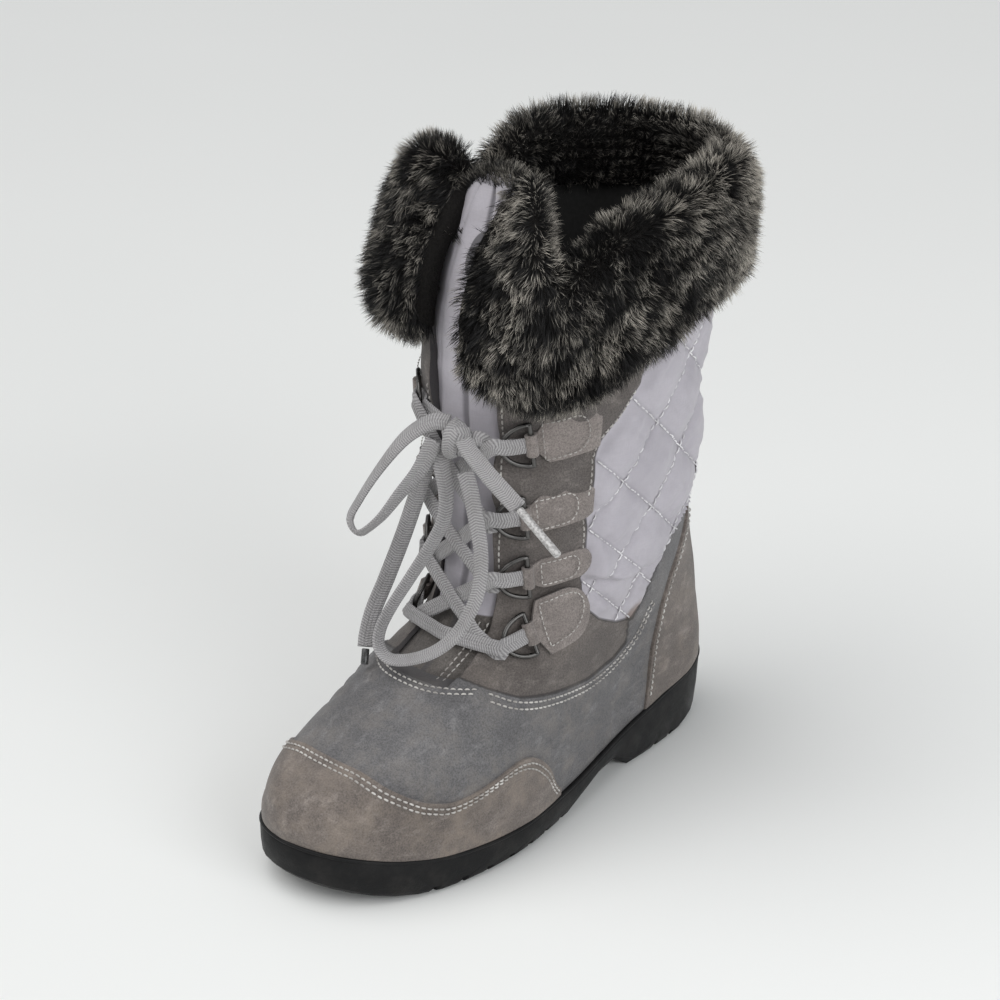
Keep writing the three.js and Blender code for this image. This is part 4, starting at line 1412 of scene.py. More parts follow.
@dataclass
class Seams:
    """All rows of stitches on the upper, its overlays and its chapes."""

    suede: Stitch = field(default_factory=Stitch)
    quilt: Stitch = field(default_factory=lambda: Stitch(3.4, 3.9, 0.36, 0.0))
    drops: tuple = (2.0, 4.8)

    def on_upper(self, yz: Array, side: Side, lift: float) -> tuple:
        """Points and normals on the upper's real face along a line drawn from the side.

        Args:
            yz: rows of Y and Z.
            side: the side.
            lift: how far above the face.

        Returns:
            Points and normals.
        """
        return self.laid(*LAST.place(yz[:, 0], yz[:, 1], side), lift)

    @staticmethod
    def laid(height: Array, turn: Array, lift: float) -> tuple:
        """Points at a lift above the upper's real face, with its normals.

        Args:
            height: heights above the feather line.
            turn: turns round the section.
            lift: how far above the face.

        Returns:
            Points and normals.
        """
        base, normal = LAST.point(height, turn), LAST.normal(height, turn)
        relief = PANELS.relief(base, PANELS.masks(base, height)) + lift
        return base + normal * relief[:, None], normal

    def joined(self, name: str, stitch: Stitch, rows: list) -> Piece:
        """Rows of stitches as one mesh.

        Args:
            name: the piece's name.
            stitch: the thread.
            rows: pairs of points and normals.

        Returns:
            The piece.
        """
        points, faces, start = [], [], 0
        for line, normals in rows:
            if len(line) < 3:
                continue
            p, f = stitch.row(line, normals)
            points.append(p)
            faces.append(f + start)
            start += len(p)
        return new_mesh(name, np.vstack(points), np.vstack(faces))

    def line(self, points: tuple, drop: float, count: int = 160) -> Array:
        """A side-view line moved square to itself, as an array of Y and Z."""
        yz = spline([(y, z, 0) for y, z in points], count)[:, :2]
        way = unit(np.gradient(yz, axis=0))
        return yz + np.stack([way[:, 1], -way[:, 0]], 1) * drop

    def vamp(self) -> Piece:
        """Two rows under the vamp's top edge."""
        rows = []
        for side in Side:
            for drop in self.drops:
                yz = self.line(PANELS.vamp_top[2:9], drop)
                rows.append(self.on_upper(yz, side, 0.15))
        for drop in self.drops:
            rows.append(self.across_front(81.5, drop))
        return self.joined("stitches_vamp", self.suede, rows)

    def across_front(self, z: float, drop: float) -> tuple:
        """A row across the instep, under the throat's edge.

        Args:
            z: the edge's height above the floor.
            drop: how far the row lies below it along the face.

        Returns:
            Points and normals.
        """
        turn = np.linspace(-0.2, 0.2, 60)
        height = np.full(60, z - SHAFT_LIFT)
        for _ in range(8):
            height = height + 0.6 * (z - LAST.point(height, turn)[:, 2])
        rise = np.linalg.norm(LAST.point(height, turn) - LAST.point(height - 2, turn), axis=1)
        height = height - 2 * drop / rise
        points, normal = self.laid(height, turn, 0.15)
        keep = np.abs(LAST.point(height, turn)[:, 0]) < 29
        return points[keep], normal[keep]

    def foot(self, tongue: Tongue) -> Piece:
        """Two upright rows on the tongue's suede foot.

        Args:
            tongue: the tongue.

        Returns:
            The piece.
        """
        front, _, z = tongue.grid(tongue.face + 2.1, 0.6)
        keep = (z > 76) & (z < 103)
        rows = []
        for column in (44, 48):
            line = front[keep, column]
            rows.append((line, np.repeat([[0.1, -0.95, 0.3]], len(line), 0)))
        return self.joined("stitches_foot", self.suede, rows)

    def facings(self) -> Piece:
        """Rows along the facings' two edges."""
        rows = []
        for side in Side:
            z = np.linspace(124, 204, 80)
            rear = np.stack([PANELS.across(PANELS.facing_rear, z) - 2.0, z], 1)
            rows.append(self.on_upper(rear, side, 0.0))
            front = -25.0 + 0.02 * (Upper().throat.read(z, "half") - 16)
            rows.append(self.on_upper(np.stack([front, z], 1), side, 0.0))
        return self.joined("stitches_facing", self.suede, rows)

    def counter(self) -> Piece:
        """One row along the counter's front edge."""
        rows = []
        edge = HeelCounter().edge
        for side in Side:
            z = np.linspace(34, 120, 90)
            y = np.interp(z, *np.array(edge).T) + 2.2
            height, turn = LAST.place(y, z, side)
            rows.append((LAST.surface(height, turn, 2.75), LAST.normal(height, turn)))
        return self.joined("stitches_counter", self.suede, rows)

    def cap(self) -> Piece:
        """Two rows inside the toe cap's edge."""
        rows = []
        columns, top = ToeCap().top()
        for drop in (2.4, 5.0):
            rise = LAST.point(top, columns) - LAST.point(np.maximum(top - 2, 0), columns)
            height = top - drop * np.minimum(2, top) / np.maximum(np.linalg.norm(rise, axis=1), 0.5)
            keep = height > 2
            height, turn = height[keep], columns[keep]
            rows.append((LAST.surface(height, turn, 2.6), LAST.normal(height, turn)))
        return self.joined("stitches_cap", self.suede, rows)

    def quilting(self) -> Piece:
        """White rows along the quilting's lines."""
        rows = []
        y = np.linspace(9, 116, 260)
        for side in Side:
            for k in range(5):
                starts, numbers = np.array(PANELS.quilt_down, float).T
                z = np.interp(k, numbers, starts) - 0.85 * y
                self.inside(rows, y, z, side)
            for k in range(-3, 3):
                z = PANELS.quilt_start + PANELS.quilt_up * k + 1.0 * y
                self.inside(rows, y, z, side)
        return self.joined("stitches_quilt", self.quilt, rows)

    def inside(self, rows: list, y: Array, z: Array, side: Side) -> None:
        """Adds the stretch of a line that lies on the nylon, clear of its edges.

        Args:
            rows: where the rows are collected.
            y: places along the boot.
            z: heights above the floor.
            side: the side.
        """
        yz = np.stack([y, z], 1)
        probe = np.stack([np.zeros_like(y), y, z], 1)
        height = LAST.height(y, z)
        masks = PANELS.masks(probe, height)
        keep = (masks["nylon"] > 0.6) & (z < 222) & (masks["back"] < -1)
        if keep.sum() > 5:
            rows.append(self.on_upper(yz[keep], side, 0.95))

    def chapes(self) -> Piece:
        """One row inside each chape's edge."""
        rows = []
        for ring in RINGS:
            shoulder = min(ring.half, ring.back / 2)
            inset = 1.6
            end = shoulder - ring.back
            line = [(-8.5, ring.half - inset), (end, ring.half - inset)]
            for k in range(1, 8):
                angle = math.pi / 2 + math.pi * k / 8
                line.append((end + (shoulder - inset) * math.cos(angle),
                             (ring.half - inset) * math.sin(angle)))
            line += [(end, inset - ring.half), (-8.5, inset - ring.half)]
            line.append((-8.5, ring.half - inset))
            flat = respaced(np.array([(a, b, 0) for a, b in line]), 120)
            rows.append(self.on_chape(ring, flat))
        return self.joined("stitches_chape", Stitch(1.7, 2.5, 0.28, 0.1), rows)

    @staticmethod
    def on_chape(ring: Ring, flat: Array) -> tuple:
        """A line in a ring's axes laid on its chape.

        Args:
            ring: the ring.
            flat: points in its axes.

        Returns:
            Points and normals.
        """
        a = ring.axes()
        p = a[3] + flat[:, :1] * a[0] + flat[:, 1:2] * a[1]
        height, turn = LAST.place(p[:, 1], p[:, 2], ring.side)
        return LAST.surface(height, turn, 3.55), LAST.normal(height, turn)


# ---- smaller pieces ----
@dataclass
class BackStrip:
    """The dark tape up the back of the shaft."""

    low: float = 96.0
    high: float = 200.0
    thickness: float = 1.0

    def build(self) -> Piece:
        """The tape, laid on the upper's face.

        Returns:
            The piece.
        """
        heights = np.linspace(self.low, self.high, 70)
        span = np.linspace(-1, 1, 13)
        height = np.broadcast_to(heights[:, None], (70, 13)).copy()
        turn = 1 + span[None, :] * 0.034 * np.ones((70, 1))
        base = LAST.point(height, turn).reshape(-1, 3)
        relief = PANELS.relief(base, PANELS.masks(base, height.ravel())).reshape(70, 13)
        soft = np.convolve(np.pad(relief.mean(1), 5, mode="edge"), np.ones(11) / 11, "valid")
        lift = soft[:, None] + 1.6 - 1.4 * np.abs(span[None, :]) ** 4
        points = LAST.surface(height, turn, lift).reshape(-1, 3)
        obj = new_mesh("back_tape", points, grid_faces(70, 13, False))
        applied(obj, "SOLIDIFY", thickness=self.thickness * MM, offset=-1)
        outward(obj)
        shaded(obj, 50)
        return obj


@dataclass
class TongueFur:
    """Hair on the tongue's lobe, above the knot."""

    low: float = 226.0
    hairs: int = 16000
    length: float = 7.5
    frost: float = 0.35

    def build(self, tongue: Tongue) -> Piece:
        """The hair as thin tapered blades.

        Args:
            tongue: the tongue that it grows on.

        Returns:
            The piece.
        """
        rng = np.random.default_rng(77)
        count = self.hairs
        front, share, z = tongue.grid(tongue.face - 0.5, 1.0)
        back, _, _ = tongue.grid(tongue.face - tongue.thickness, 1.0)
        rows = np.flatnonzero(z > self.low)
        i = rng.integers(rows[0], len(z) - 1, count)
        j = rng.integers(0, len(share) - 1, count)
        rear = rng.uniform(0, 1, count) < 0.5
        s, t = rng.uniform(0, 1, (2, count, 1))
        root = np.where(rear[:, None], back[i, j], front[i, j]) * (1 - s) + s * np.where(
            rear[:, None], back[i + 1, j + 1], front[i + 1, j + 1]
        )
        keep = (z[i] > 289) | (np.abs(share[j]) > 0.9) | rear
        root, rear, i, j = root[keep], rear[keep], i[keep], j[keep]
        count = len(root)
        out = np.where(rear, 1.0, -1.0)[:, None] * np.array([0, 1.0, 0])
        edge = np.abs(share[j])[:, None] ** 3 * np.sign(share[j])[:, None] * np.array([1.0, 0, 0])
        top = smooth(278, 294, z[i])[:, None] * np.array([0, 0, 1.0])
        normal = unit(out * 0.8 + edge + top * 1.2)
        lay = unit(normal + [0, 0, 0.25] + 0.35 * drift(root, 15, 81) + 0.18 * rng.normal(size=(count, 3)))
        length = rng.uniform(0.7, 1.15, count)[:, None] * self.length
        bend = root + lay * length * 0.5 + normal * length * 0.12
        width = rng.uniform(0.16, 0.3, count)[:, None]
        across = unit(np.cross(lay, rng.normal(size=(count, 3))))
        frost = np.clip(self.frost + 0.4 * value_noise(root, 12, 84) + rng.normal(0, 0.22, count), 0, 1)
        return blades("tongue_fur", root, bend, root + lay * length, across * width, frost)


# ---- finishes ----
@dataclass
class Graph:
    """Adds shader nodes to a material or a group, one call a node."""

    tree: Tree

    def add(self, kind: str, inputs: dict | None = None, **settings: object) -> Node:
        """A node with its settings and inputs.

        Args:
            kind: the node's type.
            inputs: values or sockets by the input's name or number.
            settings: the node's own settings.

        Returns:
            The node.
        """
        node = self.tree.nodes.new(kind)
        for key, value in settings.items():
            setattr(node, key, value)
        for key, value in (inputs or {}).items():
            self.put(node.inputs[key], value)
        return node

    def put(self, socket: Socket, value: object) -> None:
        """Links a socket or sets its value."""
        if isinstance(value, Socket):
            self.tree.links.new(value, socket)
        elif isinstance(value, tuple) and socket.type == "RGBA" and len(value) == 3:
            socket.default_value = (*value, 1)
        else:
            socket.default_value = value

    def math(self, operation: str, a: object, b: object = 0.0, clamp: bool = False) -> Socket:
        """A sum, product or other operation on two values."""
        return self.add("ShaderNodeMath", {0: a, 1: b}, operation=operation, use_clamp=clamp).outputs[0]

    def mix(self, factor: object, a: object, b: object, blend: str = "MIX") -> Socket:
        """A mix of two colours."""
        node = self.add("ShaderNodeMix", data_type="RGBA", blend_type=blend)
        for index, value in ((0, factor), (6, a), (7, b)):
            self.put(node.inputs[index], value)
        return node.outputs[2]

    def step(self, value: object, low: float, high: float, start: float = 0.0,
             end: float = 1.0) -> Socket:
        """A soft step of a value from start at low to end at high."""
        node = self.add("ShaderNodeMapRange", {0: value, 1: low, 2: high, 3: start, 4: end},
                        interpolation_type="SMOOTHSTEP")
        return node.outputs[0]

    def attribute(self, name: str) -> Socket:
        """A number painted on the piece."""
        return self.add("ShaderNodeAttribute", attribute_name=name).outputs["Fac"]

    def place(self) -> Socket:
        """The place in the boot."""
        return self.add("ShaderNodeTexCoord").outputs["Object"]

    def noise(self, vector: object, cell: float, detail: float = 3.0, rough: float = 0.55) -> Socket:
        """Noise whose cells are that many millimetres."""
        node = self.add("ShaderNodeTexNoise", {"Vector": vector, "Scale": 1000 / cell, "Detail": detail,
                                               "Roughness": rough})
        return node.outputs[0]

    def stretched(self, vector: object, scale: tuple, turn: tuple = (0, 0, 0)) -> Socket:
        """Coordinates turned and scaled."""
        node = self.add("ShaderNodeMapping", {"Vector": vector, "Scale": scale, "Rotation": turn})
        return node.outputs[0]

    def group(self, tree: Tree, **inputs: object) -> Node:
        """A placed node group."""
        node = self.add("ShaderNodeGroup", node_tree=tree)
        for key, value in inputs.items():
            self.put(node.inputs[key], value)
        return node

    def near(self, value: object, width: float) -> Socket:
        """1 where a value is nought, fading out over a width on both sides."""
        return self.step(self.math("ABSOLUTE", value), width * 0.35, width, 1.0, 0.0)


@dataclass
class Coat(Graph):
    """A material's graph with its one Principled shader."""

    material: Material
    shader: Node

    @classmethod
    def new(cls, name: str, **constants: float) -> "Coat":
        """A new material with its shader's constants.

        Args:
            name: the material's name.
            constants: shader inputs by name, with _ for a space.

        Returns:
            The material's graph.
        """
        material = bpy.data.materials.new(name)
        material.use_nodes = True
        shader = next(n for n in material.node_tree.nodes if n.type == "BSDF_PRINCIPLED")
        for key, value in constants.items():
            shader.inputs[key.replace("_", " ")].default_value = value
        return cls(material.node_tree, material, shader)

    def close(self, colour: object, rough: object = None, height: object = None, depth: float = 0.0,
              strength: float = 1.0) -> Material:
        """Gives the shader its colour, roughness and bump.

        Args:
            colour: the base colour.
            rough: the roughness, unless it is one of the constants.
            height: the bump's height, if it has a bump.
            depth: the bump's depth in millimetres.
            strength: the bump's strength.

        Returns:
            The finished material.
        """
        self.put(self.shader.inputs["Base Color"], colour)
        if rough is not None:
            self.put(self.shader.inputs["Roughness"], rough)
        if height is not None:
            inputs = {"Strength": strength, "Distance": depth * MM, "Height": height}
            self.put(self.shader.inputs["Normal"], self.add("ShaderNodeBump", inputs).outputs[0])
        return self.material


def new_group(name: str, inputs: dict, outputs: dict) -> tuple:
    """An empty shader group with named sockets.

    Args:
        name: the group's name.
        inputs: socket types by name.
        outputs: socket types by name.

    Returns:
        The tree, its graph, its input node and its output node.
    """
    tree = bpy.data.node_groups.new(name, "ShaderNodeTree")
    for way, sockets in (("INPUT", inputs), ("OUTPUT", outputs)):
        for key, kind in sockets.items():
            tree.interface.new_socket(key, in_out=way, socket_type=f"NodeSocket{kind}")
    graph = Graph(tree)
    return tree, graph, graph.add("NodeGroupInput"), graph.add("NodeGroupOutput")


@dataclass
class Effects:
    """The shared effects: suede's nap, woven nylon, soil and wear."""

    nap: Tree = field(init=False)
    weave: Tree = field(init=False)
    soil: Tree = field(init=False)

    def __post_init__(self) -> None:
        """Builds each group once."""
        self.nap = self.build_nap()
        self.weave = self.build_weave()
        self.soil = self.build_soil()

    @staticmethod
    def build_nap() -> Tree:
        """Suede: clouds of darker and lighter pile, brushed streaks, fine grain."""
        tree, g, start, end = new_group(
            "Nap", {"Vector": "Vector", "Colour": "Color", "Dark": "Color", "Light": "Color"},
            {"Colour": "Color", "Height": "Float", "Roughness": "Float"},
        )
        place = start.outputs["Vector"]
        clouds = g.step(g.noise(place, 34, 5, 0.62), 0.34, 0.68)
        brushed = g.noise(g.stretched(place, (1, 0.45, 1), (0.3, 0.5, 0.6)), 6, 5, 0.7)
        grain = g.noise(place, 0.75, 3, 0.7)
        base = g.mix(g.math("MULTIPLY", clouds, 0.75), start.outputs["Dark"], start.outputs["Colour"])
        base = g.mix(g.step(brushed, 0.48, 0.78, 0, 0.75), base, start.outputs["Light"])
        shade = g.mix(g.step(grain, 0.25, 0.7, 0.0, 1.0), (0.62, 0.62, 0.62), (1.2, 1.2, 1.2))
        g.put(end.inputs["Colour"], g.mix(1.0, base, shade, "MULTIPLY"))
        g.put(end.inputs["Height"],
              g.math("ADD", g.math("MULTIPLY", grain, 0.7), g.math("MULTIPLY", brushed, 0.6)))
        g.put(end.inputs["Roughness"], g.step(brushed, 0.3, 0.7, 0.96, 0.84))
        return tree

    @staticmethod
    def build_weave() -> Tree:
        """Close-woven nylon: crossed threads and small puckers."""
        tree, g, start, end = new_group(
            "Weave", {"Vector": "Vector", "Colour": "Color", "Shade": "Color"},
            {"Colour": "Color", "Height": "Float"},
        )
        place = start.outputs["Vector"]
        warp = g.noise(g.stretched(place, (1, 1, 0.12)), 0.5, 2)
        weft = g.noise(g.stretched(place, (0.12, 0.12, 1)), 0.5, 2)
        threads = g.math("ADD", warp, weft)
        pucker = g.noise(g.stretched(place, (1, 1, 0.5), (0.6, 0, 0)), 5.5, 4, 0.6)
        soft = g.noise(place, 26, 3)
        colour = g.mix(g.step(soft, 0.35, 0.7, 0, 0.5), start.outputs["Colour"], start.outputs["Shade"])
        colour = g.mix(g.step(threads, 0.85, 1.15, 0, 0.22), colour, start.outputs["Shade"])
        g.put(end.inputs["Colour"], colour)
        g.put(end.inputs["Height"], g.math("ADD", g.math("MULTIPLY", threads, 0.2), pucker))
        return tree

    @staticmethod
    def build_soil() -> Tree:
        """Dust and stains, thickest low down."""
        tree, g, start, end = new_group(
            "Soil", {"Vector": "Vector", "Colour": "Color", "Dirt": "Color", "Amount": "Float",
                     "Top": "Float"},
            {"Colour": "Color"},
        )
        place = start.outputs["Vector"]
        split = g.add("ShaderNodeSeparateXYZ", {0: place})
        low = g.math("DIVIDE", split.outputs[2], start.outputs["Top"], True)
        low = g.math("SUBTRACT", 1.0, low, True)
        patches = g.step(g.noise(place, 17, 6, 0.7), 0.42, 0.68)
        specks = g.step(g.noise(place, 1.6, 4, 0.7), 0.56, 0.72)
        mask = g.math("MAXIMUM", g.math("MULTIPLY", patches, 0.8), g.math("MULTIPLY", specks, 0.55))
        mask = g.math("MULTIPLY", mask, g.math("MULTIPLY", low, start.outputs["Amount"]), True)
        g.put(end.inputs["Colour"], g.mix(mask, start.outputs["Colour"], start.outputs["Dirt"]))
        return tree


@dataclass
class Finishes:
    """Every material of the boot and of the studio."""

    effects: Effects = field(default_factory=Effects)

    def upper(self) -> Material:
        """Suede and quilted nylon by the upper's panels, dark at their seams, with painted shade along the
        quilting's lines and a fleece lining.

        Returns:
            The material.
        """
        g = Coat.new("upper_panels", Sheen_Weight=0.22, Sheen_Roughness=0.5,
                                         Specular_IOR_Level=0.25)
        place = g.place()
        nylon, vamp = g.attribute("nylon"), g.attribute("vamp")
        facing, back, lining = g.attribute("facing"), g.attribute("back"), g.attribute("lining")
        is_nylon, is_vamp = g.step(nylon, -0.2, 0.2), g.step(vamp, -0.2, 0.2)
        is_facing = g.step(facing, -0.3, 0.3)
        quarter = g.mix(is_vamp, (0.155, 0.137, 0.128), (0.168, 0.165, 0.168))
        quarter = g.mix(is_facing, quarter, (0.125, 0.112, 0.107))
        dark = g.mix(is_vamp, (0.105, 0.092, 0.085), (0.118, 0.115, 0.118))
        light = g.mix(is_vamp, (0.23, 0.205, 0.19), (0.235, 0.23, 0.235))
        nap = g.group(self.effects.nap, Vector=place, Colour=quarter, Dark=dark, Light=light)
        weave = g.group(self.effects.weave, Vector=place, Colour=(0.47, 0.447, 0.485),
                        Shade=(0.37, 0.35, 0.385))
        down, up = g.attribute("quilt_down"), g.attribute("quilt_up")
        # Painted shade: the nylon is darkened along the quilting's stitch lines, in the ditches between the
        # puffs.
        lines = (g.near(g.math("SUBTRACT", v, g.math("ROUND", v)), 0.06) for v in (down, up))
        ditch_shade = g.math("MAXIMUM", *lines)
        cloth = g.mix(g.math("MULTIPLY", ditch_shade, 0.2), weave.outputs["Colour"], (0.2, 0.19, 0.21))
        cloth = g.mix(g.step(back, -0.3, 0.3), cloth, (0.03, 0.03, 0.033))
        tip = g.add("ShaderNodeVectorMath", {0: place, 1: tuple(float(v) for v in to_frame((39, 52, 84)))},
                    operation="DISTANCE").outputs["Value"]
        tip = g.math("ADD", tip, g.math("MULTIPLY", g.noise(place, 5), 0.007))
        cloth = g.mix(g.step(tip, 0.009, 0.014, 0.7, 0.0), cloth, (0.17, 0.105, 0.07))
        colour = g.mix(is_nylon, nap.outputs["Colour"], cloth)
        seam, not_nylon = g.near(nylon, 1.1), g.math("SUBTRACT", 1.0, is_nylon)
        for panel in (vamp, facing):
            seam = g.math("MAXIMUM", seam, g.math("MULTIPLY", g.near(panel, 0.9), not_nylon))
        colour = g.mix(g.math("MULTIPLY", seam, 0.72), colour, (0.035, 0.032, 0.032))
        soil = g.group(self.effects.soil, Vector=place, Colour=colour, Dirt=(0.27, 0.23, 0.19), Amount=0.5,
                       Top=0.13)
        fleece = g.mix(g.noise(place, 2.2, 4), (0.012, 0.012, 0.012), (0.03, 0.029, 0.028))
        colour = g.mix(g.step(lining, 0.3, 0.7), soil.outputs["Colour"], fleece)
        height = g.math("ADD", g.math("MULTIPLY", nap.outputs["Height"], not_nylon),
                        g.math("MULTIPLY", weave.outputs["Height"], is_nylon))
        return g.close(colour, g.step(is_nylon, 0, 1, 0.93, 0.62), height, 0.42, 0.6)

    def suede(self, name: str, colours: tuple, amount: float = 0.7) -> Material:
        """Plain suede in one colour with darker and lighter pile.

        Args:
            name: the material's name.
            colours: the middle, dark and light colours.
            amount: how soiled it is.

        Returns:
            The material.
        """
        g = Coat.new(name, Sheen_Weight=0.22, Sheen_Roughness=0.5, Specular_IOR_Level=0.2)
        place = g.place()
        nap = g.group(self.effects.nap, Vector=place, Colour=colours[0], Dark=colours[1], Light=colours[2])
        soil = g.group(self.effects.soil, Vector=place, Colour=nap.outputs["Colour"],
                       Dirt=(0.26, 0.215, 0.175), Amount=amount, Top=0.11)
        return g.close(soil.outputs["Colour"], nap.outputs["Roughness"], nap.outputs["Height"], 0.42, 0.65)

    def tongue(self) -> Material:
        """Padded nylon with a suede foot and dark edges, painted shade along its middle pleat, and a dark
        woven patch near its top.

        Returns:
            The material.
        """
        g = Coat.new("tongue_nylon", Sheen_Weight=0.25, Specular_IOR_Level=0.3)
        place = g.place()
        across, height, rear = g.attribute("across"), g.attribute("height"), g.attribute("rear")
        weave = g.group(self.effects.weave, Vector=place, Colour=(0.5, 0.475, 0.515),
                        Shade=(0.36, 0.34, 0.375))
        nap = g.group(self.effects.nap, Vector=place, Colour=(0.15, 0.135, 0.125), Dark=(0.1, 0.09, 0.083),
                      Light=(0.22, 0.2, 0.185))
        colour = g.mix(g.step(height, 103.5, 104.5), nap.outputs["Colour"], weave.outputs["Colour"])
        # Painted shade: the nylon is darkened along the middle pleat, in its crease.
        pleat = g.near(across, 0.09)
        colour = g.mix(g.math("MULTIPLY", pleat, 0.55), colour, (0.06, 0.058, 0.065))
        oval = g.math("ADD", g.math("POWER", g.math("DIVIDE", across, 0.3), 2.0),
                      g.math("POWER", g.math("DIVIDE", g.math("SUBTRACT", height, 262.0), 11.0), 2.0))
        colour = g.mix(g.step(oval, 0.9, 1.05, 0.8, 0.0), colour, (0.05, 0.048, 0.052))
        colour = g.mix(g.step(rear, 0.4, 0.6), colour, (0.02, 0.02, 0.02))
        return g.close(colour, g.step(height, 103, 105, 0.93, 0.6), weave.outputs["Height"], 0.4, 0.6)

    def fur(self) -> Material:
        """Hair, black at the root with cream frosted tips, lighter on the cuff's back-lateral side by
        painted light and darker inside its opening by painted shade.

        Returns:
            The material.
        """
        g = Coat.new("fur_hair", Specular_IOR_Level=0.35)
        share, frost = g.attribute("share"), g.attribute("frost")
        # The tips' lightness carries painted light on the cuff's back-lateral side and painted shade inside
        # its opening.
        tips = g.math("MULTIPLY", g.step(share, 0.38, 0.88), frost, True)
        cream = g.mix(g.noise(g.place(), 9, 3), (0.5, 0.455, 0.39), (0.82, 0.77, 0.68))
        return g.close(g.mix(tips, (0.009, 0.0085, 0.0085), cream), g.step(share, 0, 1, 0.75, 0.5))

    def pile(self) -> Material:
        """The dark ground under the hair."""
        g = Coat.new("fur_ground", Roughness=0.95, Specular_IOR_Level=0.1)
        noise = g.noise(g.place(), 1.2, 4, 0.7)
        return g.close(g.mix(noise, (0.006, 0.006, 0.006), (0.035, 0.032, 0.03)), None, noise, 2.0)

    def rubber(self) -> Material:
        """Black rubber, scuffed and dusty in patches."""
        g = Coat.new("sole_rubber", Specular_IOR_Level=0.22)
        place = g.place()
        fine, wide = g.noise(place, 0.7, 3), g.noise(place, 14, 5, 0.65)
        streak = g.noise(g.stretched(place, (0.25, 0.25, 2.0)), 3.2, 4, 0.7)
        colour = g.mix(g.step(wide, 0.4, 0.7), (0.0035, 0.0035, 0.004), (0.007, 0.007, 0.0075))
        colour = g.mix(g.step(streak, 0.62, 0.78, 0, 0.25), colour, (0.05, 0.047, 0.044))
        soil = g.group(self.effects.soil, Vector=place, Colour=colour, Dirt=(0.07, 0.064, 0.058), Amount=0.3,
                       Top=0.05)
        return g.close(soil.outputs["Colour"], g.step(wide, 0.3, 0.7, 0.42, 0.62),
                       g.math("ADD", fine, g.math("MULTIPLY", streak, 0.6)), 0.12)

    def metal(self) -> Material:
        """Dark nickel wire with fine scratches."""
        g = Coat.new("ring_metal", Metallic=1.0)
        place = g.place()
        rub, fine = g.noise(place, 3, 4, 0.65), g.noise(g.stretched(place, (1, 4, 1)), 0.5, 2)
        return g.close(g.mix(rub, (0.055, 0.053, 0.052), (0.16, 0.155, 0.15)),
                       g.step(rub, 0.3, 0.7, 0.24, 0.42), fine, 0.03)

    def braid(self) -> Material:
        """Grey braid: slanted strands that meet along the middle.

        Returns:
            The material.
        """
        g = Coat.new("lace_braid", Sheen_Weight=0.3, Specular_IOR_Level=0.2)
        along, across, place = g.attribute("along"), g.attribute("across"), g.place()
        slant = g.math("ADD", g.math("MULTIPLY", along, 5.2),
                       g.math("MULTIPLY", g.math("ABSOLUTE", across), 7.0))
        strand = g.step(g.math("SINE", slant), -0.9, 0.9)
        rib = g.step(g.math("SINE", g.math("MULTIPLY", across, 14.0)), -0.8, 0.8)
        height = g.math("ADD", g.math("MULTIPLY", strand, 0.8), g.math("MULTIPLY", rib, 0.45))
        fleck = g.noise(place, 0.6, 2)
        colour = g.mix(strand, (0.25, 0.24, 0.245), (0.43, 0.418, 0.422))
        colour = g.mix(g.step(fleck, 0.45, 0.75, 0, 0.5), colour, (0.42, 0.41, 0.41))
        colour = g.mix(g.step(g.noise(place, 18, 3), 0.4, 0.75, 0, 0.35), colour, (0.2, 0.19, 0.185))
        return g.close(colour, g.step(strand, 0, 1, 0.9, 0.75), height, 0.35)

    def plastic(self, name: str, light: tuple, dark: tuple) -> Material:
        """A lace tip: hard film over the braid that shows through.

        Args:
            name: the material's name.
            light: the film's colour.
            dark: the braid's colour under it.

        Returns:
            The material.
        """
        g = Coat.new(name, Coat_Weight=0.5, Coat_Roughness=0.12)
        place = g.place()
        weave = g.noise(g.stretched(place, (1, 1, 1.6), (0.4, 0.8, 0.2)), 1.3, 2)
        return g.close(g.mix(g.step(weave, 0.4, 0.6), dark, light), g.step(weave, 0.3, 0.7, 0.25, 0.4),
                       weave, 0.05)

    def thread(self, name: str, dull: tuple, clean: tuple) -> Material:
        """Thread, greyed in places, from its dull to its clean colour."""
        g = Coat.new(name, Sheen_Weight=0.2, Specular_IOR_Level=0.2)
        place = g.place()
        wear, twist = g.noise(place, 12, 3), g.noise(g.stretched(place, (1, 3, 1)), 0.3, 2)
        return g.close(g.mix(g.step(wear, 0.35, 0.7), dull, clean), g.step(twist, 0.3, 0.7, 0.7, 0.85),
                       twist, 0.06)

    def felt(self) -> Material:
        """The dark sock of the insole."""
        g = Coat.new("insole_felt", Roughness=0.95, Sheen_Weight=0.3)
        pile = g.noise(g.place(), 1.1, 4, 0.7)
        return g.close(g.mix(pile, (0.02, 0.02, 0.02), (0.06, 0.057, 0.055)), None, pile, 0.5)

    def floor(self) -> Material:
        """Plain pale paper."""
        g = Coat.new("pale_floor", Roughness=0.9, Specular_IOR_Level=0.15)
        soft = g.noise(g.place(), 600, 2)
        return g.close(g.mix(soft, (0.84, 0.845, 0.83), (0.87, 0.875, 0.86)))


